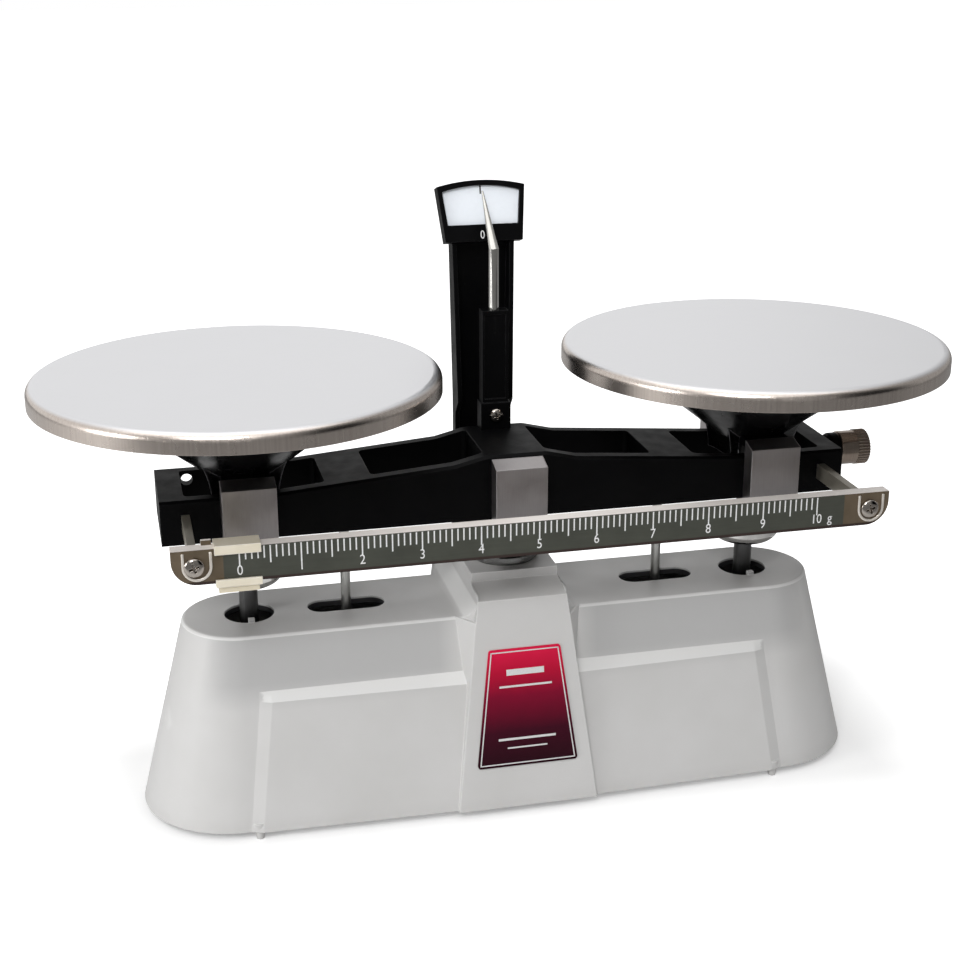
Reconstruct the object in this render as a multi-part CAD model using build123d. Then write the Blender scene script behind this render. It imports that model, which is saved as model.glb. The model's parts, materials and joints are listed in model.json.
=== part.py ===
"""Equal-arm trip balance: two pans on a Roberval beam over a drafted housing.

Millimetres. +X runs along the beam to the right, -Y is the front with the graduated bar, +Z is up.
The origin lies on the table under the centre knife edge, between the feet.
"""

import os
from math import cos, radians, sin, tan

from build123d import *

# Housing: a drafted shell on moulded pegs
FOOT_HEIGHT = 3.5
HOUSING_HEIGHT = 75.0
BOTTOM_LENGTH = 294.0
BOTTOM_WIDTH = 74.0
TOP_LENGTH = 256.0
TOP_WIDTH = 45.0
WALL = 3.0
TOP_EDGE_RADIUS = 1.5
FOOT_X = 105.0
FOOT_INSET = 1.4
FOOT_TOP_RADIUS = 2.6
FOOT_TIP_RADIUS = 1.5
HOLE_RADIUS = 9.7
SLOT_LENGTH = 30.6
SLOT_WIDTH = 12.0
PEG_WIDTH = 2.4
PEG_DEPTH = 1.8
PEG_RISE = 1.4
PEG_DROP = 6.0

# Pedestal: the tapered block in the middle of the housing
PEDESTAL_BOTTOM_HALF = 28.0
PEDESTAL_TOP_HALF = 17.4
PEDESTAL_FRONT_BOTTOM = 42.0
PEDESTAL_FRONT_TOP = 30.0
PEDESTAL_BACK_BOTTOM = 49.4
PEDESTAL_BACK_TOP = 47.4
LEDGE_FRONT_RISE = 8.4
LEDGE_RISE = 11.4
PLINTH_RISE = 15.0
PLINTH_HALF_DEPTH = 17.0
COVE_REACH = 6.8
FLANK_DROP = 27.0
PEDESTAL_SINK = 1.0

# Raised panels on the long walls
PANEL_TOP_DROP = 21.4
PANEL_BEVEL = 3.8
PANEL_PROUD_OUTER = 1.6
PANEL_PROUD_INNER = 3.4
PANEL_OUTER_TOP = 102.0
PANEL_OUTER_BOTTOM = 108.4
PANEL_SIDE_BEVEL = 4.6

# Bottom plate and its screws
PLATE_THICKNESS = 2.0
PLATE_CLEARANCE = 0.4
BOSS_X = 88.0
BOSS_INSET = 8.4
BOSS_RADIUS = 4.6
BOSS_HEIGHT = 14.0
BOSS_SCREW_RADIUS = 1.5
BOSS_SCREW_HEAD_RADIUS = 3.2
BOSS_SCREW_HEAD_HEIGHT = 1.6
BOSS_SCREW_LENGTH = 10.0

# Label on the pedestal's front
LABEL_TOP_DROP = 11.0
LABEL_BOTTOM_DROP = 58.0
LABEL_TOP_HALF = 14.3
LABEL_BOTTOM_HALF = 20.2
LABEL_THICKNESS = 0.5
LABEL_CORNER = 1.2

# Beam casting
ARM = 102.0
PIVOT_RISE = 50.0
BEAM_LENGTH = 268.0
BEAM_WIDTH = 40.0
RAIL = 5.0
BEAM_BOTTOM_RISE = 38.0
BEAM_END_RISE = 55.0
BEAM_SHOULDER_RISE = 60.4
BEAM_CROWN_RISE = 63.3
BEAM_FLAT_HALF = 91.0
BEAM_SHOULDER_HALF = 24.0
BEAM_CROWN_HALF = 12.0
BEAM_BEND_RADIUS = 8.0
BEAM_BEVEL = 1.0
END_WEB = 8.0
END_WEB_TRIM = 1.12
ROD_X = 64.0
ROD_WEB_WIDTH = 17.4
CENTRE_BLOCK_HALF = 12.0
POCKET_CORNER = 2.0
TRIM_HOLE_RADIUS = 2.3
TRIM_HOLE_X = 122.0
TRIM_HOLE_DROP = 3.6

# Knife edges and their bearings
KNIFE_HALF = 2.6
KNIFE_SLOPE_HEIGHT = 4.5
KNIFE_BACK = 3.0
KNIFE_END_GAP = 0.5
KNIFE_GAP = 0.05
BEARING_HALF = 4.5
BEARING_HEIGHT = 3.0
BEARING_GROOVE = 0.8

# Uprights that carry the bearings, at the centre and on each hanger
UPRIGHT_INNER = 21.2
UPRIGHT_OUTER = 27.5
UPRIGHT_HALF = 9.0
SHOULDER_RISE = 59.5
CAP_RISE = 61.4
YOKE_BAR_RISE = 58.4
YOKE_EAR_RISE = 41.5

# Sheet covers over the bearings
COVER_SHEET = 0.8
COVER_HALF = 10.0
COVER_BOTTOM_RISE = 38.0
COVER_BEAM_GAP = 0.8

# Centre stand
DISC_RADIUS = 13.8
DISC_HEIGHT = 4.5
DISC_CHAMFER = 1.2
COLUMN_RADIUS = 8.0
CROSSBAR_BOTTOM_RISE = 26.0
CROSSBAR_TOP_RISE = 32.8
STAND_BOLT_RADIUS = 3.0
STAND_BOLT_HEAD_RADIUS = 5.2
STAND_BOLT_HEAD_HEIGHT = 4.0
STAND_BOLT_DEPTH = 8.0

# Pan supports
STEM_RADIUS = 3.6
SPIGOT_RADIUS = 2.5
STEM_TAIL = 4.6
CUP_RADIUS = 14.0
CUP_FOOT_RADIUS = 8.0
CUP_BOTTOM_RISE = 13.2
CUP_TOP_RISE = 24.0
CUP_BOWL = 4.0
CUP_CHAMFER = 1.2
NECK_BOTTOM_RISE = 50.0
NECK_WAIST_RISE = 53.5
NECK_WAIST_HALF = 12.6
NECK_FLARE_RISE = 66.0
NECK_FLARE_HALF = 15.6
NECK_SCOOP = 2.0
FUNNEL_BOTTOM_RISE = 59.5
FUNNEL_BOTTOM_RADIUS = 14.0
FUNNEL_BELLY_RADIUS = 30.4
FUNNEL_BELLY_RISE = 72.5
FUNNEL_RIM_RADIUS = 53.0
FUNNEL_WALL = 2.6
HUB_RADIUS = 11.0
HUB_RISE = 68.0
NUT_RADIUS = 4.6
NUT_HEIGHT = 4.0

# Pans
PAN_RADIUS = 76.2
PAN_RISE = 96.8
PAN_SHEET = 0.9
PAN_SKIRT = 7.6
PAN_EDGE_RADIUS = 3.4
PAN_SEAT_GAP = 0.05
PAN_RING_RADIUS = 47.4
PAN_RING_HEIGHT = 3.6
PAN_RING_SHEET = 1.2

# Check link inside the housing
LINK_DROP = 100.0
LINK_HEIGHT = 9.0
LINK_SHEET = 2.0
LINK_INNER = 4.2
LINK_END = 5.0
LINK_PIN_RADIUS = 1.5
LINK_PIN_HEAD_RADIUS = 2.6
LINK_PIN_HEAD = 1.2
PIN_CLEARANCE = 0.05
PIVOT_PIN_RADIUS = 2.0
BRACKET_INNER = 6.9
BRACKET_SHEET = 2.4
BRACKET_HALF = 7.5
BRACKET_PLATE_HALF_X = 12.0
BRACKET_PLATE_HALF_Y = 14.0
BRACKET_TAIL = 6.0

# Stop rods
ROD_RADIUS = 1.9
ROD_SEAT_RISE = 50.0
ROD_TAIL = 16.0
STOP_RADIUS = 8.0
STOP_HEIGHT = 3.0
STOP_GAP = 3.9

# Graduated bar
BAR_LEFT = -132.4
BAR_RIGHT = 136.4
BAR_HEIGHT = 13.0
BAR_TOP_RISE = 49.7
BAR_FRONT = 56.5
BAR_SHEET = 1.4
BAR_FLANGE = 5.5
BAR_CORNER = 9.0
BAR_SCREW_INSET = 7.9
BAR_SCREW_DROP = 6.2
BAR_SCREW_RADIUS = 1.6
BAR_SCREW_HEAD_RADIUS = 3.5
BAR_SCREW_HEAD_HEIGHT = 1.8
BAR_SCREW_LENGTH = 3.8
BRACE_X = 123.3
BRACE_SHEET = 3.0
BRACE_HEIGHT = 6.0
BRACE_SEAT = 2.0
BRACE_TAB = 2.4
BRACE_TAB_HALF = 5.2
ZERO_STOP_LENGTH = 3.6
ZERO_STOP_GAP = 0.6
ZERO_STOP_HEIGHT = 1.8

# Poise on the bar
ZERO_X = -109.3
POISE_HALF = 8.1
POISE_SHEET = 0.95
POISE_GAP = 0.3
POISE_TOP_LIP = 3.4
POISE_BOTTOM_LIP = 2.8
POISE_PAD_HEIGHT = 2.4

# Zero adjuster on the beam's right end
STUD_RADIUS = 2.0
STUD_SEAT = 6.0
STUD_LENGTH = 19.0
STUD_DROP = 1.3
COLLAR_GAP = 1.8
COLLAR_RADIUS = 6.5
COLLAR_EDGE_RADIUS = 1.6
COLLAR_LENGTH = 4.4
KNOB_RADIUS = 6.9
KNOB_LENGTH = 7.6
RING_RADIUS = 7.2
RING_LENGTH = 5.0
KNOB_COLLAR_GAP = 0.1
KNURL_COUNT = 36
KNURL_DEPTH = 0.35

# Pointer on the beam
POINTER_Y = 17.0
HOLDER_HALF = 5.2
HOLDER_DEPTH = 5.8
HOLDER_TOP_RISE = 111.0
HOLDER_RECESS = 0.8
BLOCK_HALF = 6.0
BLOCK_DEPTH = 6.8
BLOCK_RISE = 74.1
POINTER_SCREW_RISE = 69.1
POINTER_SCREW_RADIUS = 1.4
POINTER_SCREW_HEAD_RADIUS = 2.7
POINTER_SCREW_HEAD_HEIGHT = 1.6
POINTER_SCREW_LENGTH = 4.6
BLADE_RADIUS = 2.0
BLADE_SEAT = 9.0
BLADE_BEND_RISE = 135.0
BLADE_TIP_RADIUS = 0.35

# Dial tower behind the beam
TOWER_BACK = 41.4
TOWER_FRONT_TOP = 34.4
TOWER_FRONT_BOTTOM = 31.0
TOWER_REAR_DEPTH = 5.0
TOWER_SHEET = 1.8
TOWER_TOP_HALF = 12.6
TOWER_LOW_HALF = 11.4
TOWER_FLANGE_RISE = 70.0
TOWER_NOTCH = 6.0
TOWER_FOOT_HALF = 11.0
TOWER_FOOT_REACH = 6.0
TOWER_FOOT_THICKNESS = 2.4
TOWER_SCREW_X = 6.5
TOWER_SCREW_RADIUS = 1.6
TOWER_SCREW_HEAD_RADIUS = 2.9
TOWER_SCREW_HEAD_HEIGHT = 1.8
TOWER_SCREW_LENGTH = 8.0
HEAD_RISE = 135.0
HEAD_Y = 32.0
HEAD_TILT = 17.0
HEAD_DEPTH = 5.4
HEAD_BOTTOM_HALF = 15.6
HEAD_TOP_HALF = 17.7
HEAD_SIDE = 21.8
HEAD_CROWN = 24.0
HEAD_LIP = 1.6
FRAME_EDGE = 2.0
WINDOW_SILL = 6.6
CARD_LAP = 1.0
CARD_CLEARANCE = 0.2
CARD_THICKNESS = 0.8
TIP_STANDOFF = 2.0
TIP_DROP = 2.6

# Heights that follow from the sizes above
DECK = FOOT_HEIGHT + HOUSING_HEIGHT
PIVOT = DECK + PIVOT_RISE
FOOT_Y = BOTTOM_WIDTH / 2 - FOOT_INSET
BOSS_Y = BOTTOM_WIDTH / 2 - BOSS_INSET
LINK_Z = PIVOT - LINK_DROP
BAR_WEB_BACK = BAR_FRONT - BAR_SHEET
KNIFE_REACH = UPRIGHT_OUTER - KNIFE_END_GAP
COVER_FRONT = UPRIGHT_OUTER + COVER_SHEET
COVER_BACK = BEAM_WIDTH / 2 + COVER_BEAM_GAP
PAN_UNDERSIDE = DECK + PAN_RISE - PAN_SHEET
FUNNEL_TOP = PAN_UNDERSIDE - PAN_SEAT_GAP
STUD_Z = PIVOT - STUD_DROP
BEAM_END = BEAM_LENGTH / 2
BAR_TOP = DECK + BAR_TOP_RISE

NODES = {}


def add(name, *solids):
    """Keep one node: a single solid, or a group of separate ones."""
    NODES[name] = solids[0] if len(solids) == 1 else Compound(children=list(solids))


def block(x0, x1, y0, y1, z0, z1):
    """A box between two corners."""
    return Pos((x0 + x1) / 2, (y0 + y1) / 2, (z0 + z1) / 2) * Box(x1 - x0, y1 - y0, z1 - z0)


def rod(radius, z0, z1, x=0.0, y=0.0):
    """An upright cylinder between two heights."""
    return Pos(x, y, (z0 + z1) / 2) * Cylinder(radius, z1 - z0)


def rod_y(radius, y0, y1, x, z):
    """A cylinder that runs front to back."""
    return Pos(x, (y0 + y1) / 2, z) * Rot(90, 0, 0) * Cylinder(radius, y1 - y0)


def rod_x(radius, x0, x1, y, z):
    """A cylinder that runs along the beam."""
    return Pos((x0 + x1) / 2, y, z) * Rot(0, 90, 0) * Cylinder(radius, x1 - x0)


def across(outline, y0, y1):
    """Extrude an outline of (x, z) points or edges from y0 to y1."""
    edges = Polyline(*outline, close=True) if isinstance(outline[0], tuple) else Curve() + outline
    return Pos(0, y1, 0) * extrude(Plane.XZ * make_face(edges), amount=y1 - y0)


def along(outline, x0, x1):
    """Extrude an outline of (y, z) points from x0 to x1."""
    return Pos(x0, 0, 0) * extrude(Plane.YZ * make_face(Polyline(*outline, close=True)), amount=x1 - x0)


def turned(edges):
    """Revolve a closed outline of (r, z) edges about the Z axis."""
    return revolve(Plane.XZ * make_face(Curve() + edges), axis=Axis.Z)


def slab(points, z):
    """A flat polygon of (x, y) points at one height."""
    return Plane.XY.offset(z) * make_face(Polyline(*points, close=True))


def flip(shape):
    """The same piece on the other side, front to back."""
    return mirror(shape, about=Plane.XZ)


def swap(shape):
    """The same piece on the other arm."""
    return mirror(shape, about=Plane.YZ)


def draft(bottom, top, z):
    """A size that changes evenly from the housing's bottom edge to its deck."""
    return bottom + (top - bottom) * (z - FOOT_HEIGHT) / HOUSING_HEIGHT


def wall_y(z):
    """Distance of the long wall's outer face from the middle, at one height."""
    return draft(BOTTOM_WIDTH, TOP_WIDTH, z) / 2


def outline_at(z, inset=0.0):
    """The housing's stadium outline at one height."""
    length = draft(BOTTOM_LENGTH, TOP_LENGTH, z) - 2 * inset
    width = draft(BOTTOM_WIDTH, TOP_WIDTH, z) - 2 * inset
    return Plane.XY.offset(z) * SlotOverall(length, width)


def pedestal_half(z):
    """Half the width of the pedestal's face at one height."""
    share = (z - FOOT_HEIGHT) / (HOUSING_HEIGHT + LEDGE_RISE)
    return PEDESTAL_BOTTOM_HALF + (PEDESTAL_TOP_HALF - PEDESTAL_BOTTOM_HALF) * share


def pedestal_face(z):
    """Distance of the pedestal's front face from the middle, at one height."""
    share = (z - FOOT_HEIGHT) / (HOUSING_HEIGHT + LEDGE_FRONT_RISE)
    return PEDESTAL_FRONT_BOTTOM + (PEDESTAL_FRONT_TOP - PEDESTAL_FRONT_BOTTOM) * share


def pedestal_back(z):
    """Distance of the pedestal's rear face from the middle, at one height."""
    share = (z - FOOT_HEIGHT) / (HOUSING_HEIGHT + LEDGE_RISE)
    return PEDESTAL_BACK_BOTTOM + (PEDESTAL_BACK_TOP - PEDESTAL_BACK_BOTTOM) * share


def pedestal_body():
    """The tapered block with its sloping front ledge and stepped plinth."""
    low, ledge, top = FOOT_HEIGHT, DECK + LEDGE_RISE, DECK + PLINTH_RISE
    front = across([(-PEDESTAL_BOTTOM_HALF, low), (PEDESTAL_BOTTOM_HALF, low),
                    (PEDESTAL_TOP_HALF, ledge), (-PEDESTAL_TOP_HALF, ledge)], -BOTTOM_WIDTH, BOTTOM_WIDTH)
    side = along([(-PEDESTAL_FRONT_BOTTOM, low), (-PEDESTAL_FRONT_TOP, DECK + LEDGE_FRONT_RISE),
                  (-PLINTH_HALF_DEPTH, ledge), (PEDESTAL_BACK_TOP, ledge), (PEDESTAL_BACK_BOTTOM, low)],
                 -BOTTOM_WIDTH, BOTTOM_WIDTH)
    plinth = block(-PEDESTAL_TOP_HALF, PEDESTAL_TOP_HALF, -PLINTH_HALF_DEPTH, PLINTH_HALF_DEPTH,
                   ledge - PEDESTAL_SINK, top)
    return (front & side) + plinth


def pedestal_cove():
    """The hollow curve at each side, where the pedestal rises from the deck."""
    reach = PEDESTAL_TOP_HALF + COVE_REACH
    ledge = DECK + LEDGE_RISE
    base = DECK - PEDESTAL_SINK
    right = EllipticalCenterArc((reach, ledge), COVE_REACH, LEDGE_RISE, 180, arc_size=90)
    left = EllipticalCenterArc((-reach, ledge), COVE_REACH, LEDGE_RISE, 270, arc_size=90)
    edges = [right, Line((reach, DECK), (reach, base)), Line((reach, base), (-reach, base)),
             Line((-reach, base), (-reach, DECK)), left,
             Line((-PEDESTAL_TOP_HALF, ledge), (PEDESTAL_TOP_HALF, ledge))]
    profile = across(edges, -BOTTOM_WIDTH, BOTTOM_WIDTH)
    wall = TOP_WIDTH / 2
    plan = extrude(slab([(-PEDESTAL_TOP_HALF, -PLINTH_HALF_DEPTH), (PEDESTAL_TOP_HALF, -PLINTH_HALF_DEPTH),
                         (PEDESTAL_TOP_HALF, -PEDESTAL_FRONT_TOP), (reach, -wall), (reach, wall),
                         (PEDESTAL_TOP_HALF, PEDESTAL_BACK_TOP), (-PEDESTAL_TOP_HALF, PEDESTAL_BACK_TOP),
                         (-reach, wall), (-reach, -wall), (-PEDESTAL_TOP_HALF, -PEDESTAL_FRONT_TOP)], base),
                   amount=2 * LEDGE_RISE)
    return profile & plan


def pedestal_flank(face, sign):
    """The splayed side of the pedestal below the deck, which dies out into the wall."""
    sections = []
    for z, splay in ((DECK - FLANK_DROP, 0.3), (DECK, COVE_REACH)):
        half, depth = pedestal_half(z), face(z)
        wall = wall_y(z) - PEDESTAL_SINK
        points = [(-half, depth), (half, depth), (half + splay, wall), (half + splay, 0),
                  (-half - splay, 0), (-half - splay, wall)]
        sections.append(slab([(x, sign * y) for x, y in points], z))
    return loft(sections, ruled=True)


def panel():
    """The raised panel on the front wall, right of the pedestal."""
    top = DECK - PANEL_TOP_DROP
    sections = []
    for z, outer, proud in ((FOOT_HEIGHT, PANEL_OUTER_BOTTOM, 1.0), (top - PANEL_BEVEL, PANEL_OUTER_TOP, 1.0),
                            (top, PANEL_OUTER_TOP, 0.02)):
        wall = wall_y(z)
        inner = pedestal_half(z) - PEDESTAL_SINK
        sections.append(slab([(inner, -wall + PEDESTAL_SINK), (inner, -wall - PANEL_PROUD_INNER * proud),
                              (outer - PANEL_SIDE_BEVEL, -wall - PANEL_PROUD_OUTER * proud), (outer, -wall),
                              (outer, -wall + PEDESTAL_SINK)], z))
    return loft(sections[:2], ruled=True) + loft(sections[1:], ruled=True)


def feet():
    """Four moulded pegs under the panels' outer ends."""
    pegs = []
    for x in (-FOOT_X, FOOT_X):
        for y in (-FOOT_Y, FOOT_Y):
            cone = Cone(FOOT_TIP_RADIUS, FOOT_TOP_RADIUS, 2 * FOOT_HEIGHT)
            pegs.append(Pos(x, y, FOOT_HEIGHT) * cone)
    return pegs


def housing():
    """The drafted shell with its pedestal, panels, stem holes, rod slots and feet."""
    inner_top = DECK - WALL
    shell = loft([outline_at(FOOT_HEIGHT), outline_at(DECK)])
    shell = fillet(shell.edges().group_by(Axis.Z)[-1], TOP_EDGE_RADIUS)
    right = panel()
    for piece in (right, swap(right), flip(right), flip(swap(right))):
        shell += piece
    shell += pedestal_body() + pedestal_cove()
    shell += pedestal_flank(pedestal_face, -1)
    shell += pedestal_flank(pedestal_back, 1)
    cavity = loft([outline_at(0, WALL), outline_at(inner_top, WALL)])
    half_low, half_top = pedestal_half(0) - WALL, pedestal_half(inner_top) - WALL
    recess = loft([slab([(-half_low, WALL - pedestal_face(0)), (half_low, WALL - pedestal_face(0)),
                         (half_low, pedestal_back(0) - WALL), (-half_low, pedestal_back(0) - WALL)], 0),
                   slab([(-half_top, WALL - pedestal_face(inner_top)), (half_top, WALL - pedestal_face(inner_top)),
                         (half_top, pedestal_back(inner_top) - WALL),
                         (-half_top, pedestal_back(inner_top) - WALL)], inner_top)], ruled=True)
    shell -= cavity + recess
    boss_bottom = FOOT_HEIGHT + PLATE_THICKNESS
    for x in (-BOSS_X, BOSS_X):
        for y in (-BOSS_Y, BOSS_Y):
            boss = rod(BOSS_RADIUS, boss_bottom, boss_bottom + BOSS_HEIGHT, x, y)
            shell += boss & loft([outline_at(FOOT_HEIGHT), outline_at(DECK)])
            shell -= rod(BOSS_SCREW_RADIUS, boss_bottom, boss_bottom + BOSS_SCREW_LENGTH, x, y)
    for peg in feet():
        shell += peg
    for side in (-1, 1):
        shell -= rod(HOLE_RADIUS, inner_top - 1, DECK + 1, side * ARM)
        slot = Plane.XY.offset(inner_top - 1) * SlotOverall(SLOT_LENGTH, SLOT_WIDTH)
        shell -= Pos(side * ROD_X, 0, 0) * extrude(slot, amount=WALL + 2)
        shell += block(side * ARM - PEG_WIDTH / 2, side * ARM + PEG_WIDTH / 2, -HOLE_RADIUS - 0.4,
                       PEG_DEPTH - HOLE_RADIUS, DECK - PEG_DROP, DECK + PEG_RISE)
    shell -= rod(STAND_BOLT_RADIUS, inner_top - 1, DECK + PLINTH_RISE + 1)
    for x in (-TOWER_SCREW_X, TOWER_SCREW_X):
        depth = TOWER_SCREW_LENGTH - TOWER_FOOT_THICKNESS
        shell -= rod(TOWER_SCREW_RADIUS, DECK + LEDGE_RISE - depth, DECK + LEDGE_RISE, x, tower_screw_y())
    return shell


def bottom_plate():
    """The sheet that closes the housing from below, with its four screws."""
    low, high = FOOT_HEIGHT, FOOT_HEIGHT + PLATE_THICKNESS
    gap = WALL + PLATE_CLEARANCE
    plate = extrude(outline_at(high, gap), amount=-PLATE_THICKNESS)
    half = pedestal_half(high) - gap
    plate += block(-half, half, gap - pedestal_face(high), pedestal_back(high) - gap, low, high)
    screws = []
    for x in (-BOSS_X, BOSS_X):
        for y in (-BOSS_Y, BOSS_Y):
            plate -= rod(BOSS_SCREW_RADIUS, low - 1, high + 1, x, y)
            head = rod(BOSS_SCREW_HEAD_RADIUS, low - BOSS_SCREW_HEAD_HEIGHT, low, x, y)
            screws.append(head + rod(BOSS_SCREW_RADIUS, low, high + BOSS_SCREW_LENGTH, x, y))
    add("bottom_plate", plate)
    add("bottom_plate_screws", *screws)


def label_plate():
    """The bare plate on the pedestal's sloping front."""
    high, low = DECK - LABEL_TOP_DROP, DECK - LABEL_BOTTOM_DROP
    face_high, face_low = -pedestal_face(high), -pedestal_face(low)
    strip = along([(face_low, low), (face_low - LABEL_THICKNESS, low),
                   (face_high - LABEL_THICKNESS, high), (face_high, high)],
                  -PEDESTAL_BOTTOM_HALF, PEDESTAL_BOTTOM_HALF)
    face = make_face(Polyline((-LABEL_BOTTOM_HALF, low), (LABEL_BOTTOM_HALF, low),
                              (LABEL_TOP_HALF, high), (-LABEL_TOP_HALF, high), close=True))
    face = fillet(face.vertices(), LABEL_CORNER)
    return strip & extrude(Plane.XZ * face, amount=BOTTOM_WIDTH)


def beam_profile():
    """The beam's side view: level ends that rise to a crown over the centre."""
    low = DECK + BEAM_BOTTOM_RISE
    right = [(BEAM_END, low), (BEAM_END, DECK + BEAM_END_RISE), (BEAM_FLAT_HALF, DECK + BEAM_END_RISE),
             (BEAM_SHOULDER_HALF, DECK + BEAM_SHOULDER_RISE), (BEAM_CROWN_HALF, DECK + BEAM_CROWN_RISE)]
    left = [(-x, z) for x, z in reversed(right)]
    face = make_face(Polyline(*right, *left, close=True))
    bends = [v for v in face.vertices() if abs(v.X) < BEAM_END - 1]
    return fillet(bends, BEAM_BEND_RADIUS)


def pocket(x0, x1):
    """One opening through the beam between its rails."""
    depth = BEAM_WIDTH - 2 * RAIL
    low, high = DECK + BEAM_BOTTOM_RISE - 1, DECK + BEAM_CROWN_RISE + 1
    cut = extrude(Plane.XY.offset(low) * RectangleRounded(x1 - x0, depth, POCKET_CORNER), amount=high - low)
    return Pos((x0 + x1) / 2, 0, 0) * cut


def knife_outline(x, sign):
    """A five-sided knife section with its edge on the pivot line; sign 1 has the body above the edge."""
    body = PIVOT + sign * KNIFE_SLOPE_HEIGHT
    back = body + sign * KNIFE_BACK
    return [(x, PIVOT), (x + KNIFE_HALF, body), (x + KNIFE_HALF, back), (x - KNIFE_HALF, back),
            (x - KNIFE_HALF, body)]


def beam():
    """The open casting: two rails, end webs, rod webs and the centre block."""
    half = BEAM_WIDTH / 2
    body = Pos(0, half, 0) * extrude(Plane.XZ * beam_profile(), amount=BEAM_WIDTH)
    crest = [e for e in body.edges() if abs(abs(e.center().Y) - half) < 0.01
             and e.center().Z > DECK + BEAM_END_RISE - 0.01]
    body = chamfer(crest, BEAM_BEVEL)
    web_in, web_out = ROD_X - ROD_WEB_WIDTH / 2, ROD_X + ROD_WEB_WIDTH / 2
    outer = BEAM_END - END_WEB
    for x0, x1 in ((CENTRE_BLOCK_HALF, web_in), (web_out, outer), (-web_in, -CENTRE_BLOCK_HALF),
                   (END_WEB_TRIM - outer, -web_out)):
        body -= pocket(x0, x1)
    body -= across(knife_outline(0, 1), -half - 1, half + 1)
    for side in (-1, 1):
        body -= across(knife_outline(side * ARM, -1), -half - 1, half + 1)
        body -= rod(ROD_RADIUS, DECK + BEAM_BOTTOM_RISE - 1, DECK + ROD_SEAT_RISE, side * ROD_X)
        body -= brace_bar(side)
    body -= rod_x(STUD_RADIUS, BEAM_END - STUD_SEAT, BEAM_END + 1, 0, STUD_Z)
    body -= rod_y(TRIM_HOLE_RADIUS, half - RAIL - 1, half + 1, -TRIM_HOLE_X,
                  DECK + BEAM_END_RISE - TRIM_HOLE_DROP)
    return body


def knives():
    """The centre knife right through the block, and a stub on each rail at each end."""
    half = BEAM_WIDTH / 2
    add("centre_knife_edge", across(knife_outline(0, 1), -KNIFE_REACH, KNIFE_REACH))
    stub = across(knife_outline(ARM, -1), -KNIFE_REACH, RAIL - half)
    add("right_knife_edges", stub, flip(stub))
    add("left_knife_edges", swap(stub), flip(swap(stub)))


def bearing(sign, y0, y1):
    """A grooved stone on the pivot line; sign 1 has it under the knife, -1 over it."""
    root = PIVOT - sign * KNIFE_GAP
    lip = root + sign * BEARING_GROOVE
    back = root - sign * BEARING_HEIGHT
    return across([(0, root), (BEARING_HALF, lip), (BEARING_HALF, back), (-BEARING_HALF, back),
                   (-BEARING_HALF, lip)], y0, y1)


def cover():
    """A folded sheet cap over one front bearing, at the centre."""
    low = DECK + COVER_BOTTOM_RISE
    slope = (CAP_RISE - SHOULDER_RISE) / (UPRIGHT_OUTER - COVER_BACK)
    shoulder = DECK + SHOULDER_RISE

    def hood(front, back, bottom, lift):
        return [(-back, bottom), (-front, bottom), (-front, shoulder + lift - slope * (front - UPRIGHT_OUTER)),
                (-back, shoulder + lift + slope * (UPRIGHT_OUTER - back))]

    outer = along(hood(COVER_FRONT, COVER_BACK, low, COVER_SHEET), -COVER_HALF, COVER_HALF)
    inner_half = COVER_HALF - COVER_SHEET
    inner = along(hood(UPRIGHT_OUTER, COVER_BACK - 1, low - 1, 0), -inner_half, inner_half)
    return outer - inner


def upright(bottom, top):
    """One front upright at the centre, with the sloping top that the cover rests on."""
    high = DECK + top
    slope = CAP_RISE - SHOULDER_RISE
    run = UPRIGHT_OUTER - COVER_BACK
    inner_top = high + slope * (UPRIGHT_OUTER - UPRIGHT_INNER) / run
    return along([(-UPRIGHT_INNER, DECK + bottom), (-UPRIGHT_OUTER, DECK + bottom), (-UPRIGHT_OUTER, high),
                  (-UPRIGHT_INNER, inner_top)], -UPRIGHT_HALF, UPRIGHT_HALF)


def centre_stand():
    """The fork that carries the beam: column, crossbar and two uprights, with disc, stones and covers."""
    foot = DECK + PLINTH_RISE
    bar_low, bar_high = DECK + CROSSBAR_BOTTOM_RISE, DECK + CROSSBAR_TOP_RISE
    fork = rod(COLUMN_RADIUS, foot, bar_low)
    fork += block(-UPRIGHT_HALF, UPRIGHT_HALF, -UPRIGHT_OUTER, UPRIGHT_OUTER, bar_low, bar_high)
    post = upright(CROSSBAR_TOP_RISE - 1, SHOULDER_RISE)
    seat = PIVOT - KNIFE_GAP - BEARING_HEIGHT
    post -= block(-BEARING_HALF, BEARING_HALF, -UPRIGHT_OUTER - 1, 0, seat, DECK + CAP_RISE + 1)
    fork += post + flip(post)
    fork -= rod(STAND_BOLT_RADIUS, foot - 1, foot + STAND_BOLT_DEPTH)
    add("centre_stand", fork)
    top = foot + DISC_HEIGHT
    inner = DISC_RADIUS - DISC_CHAMFER
    add("centre_disc", turned([Polyline((COLUMN_RADIUS, foot), (inner, foot), (DISC_RADIUS, foot + DISC_CHAMFER),
                                        (DISC_RADIUS, top - DISC_CHAMFER), (inner, top), (COLUMN_RADIUS, top),
                                        close=True)]))
    stone = bearing(1, -UPRIGHT_OUTER, -UPRIGHT_INNER)
    add("centre_bearings", stone, flip(stone))
    add("centre_cover_front", cover())
    add("centre_cover_rear", flip(cover()))
    head_top = DECK - WALL - BRACKET_SHEET
    bolt = rod(STAND_BOLT_RADIUS, head_top, foot + STAND_BOLT_DEPTH)
    head = RegularPolygon(STAND_BOLT_HEAD_RADIUS, 6)
    bolt += extrude(Plane.XY.offset(head_top - STAND_BOLT_HEAD_HEIGHT) * head, amount=STAND_BOLT_HEAD_HEIGHT)
    add("stand_bolt", bolt)


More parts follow.
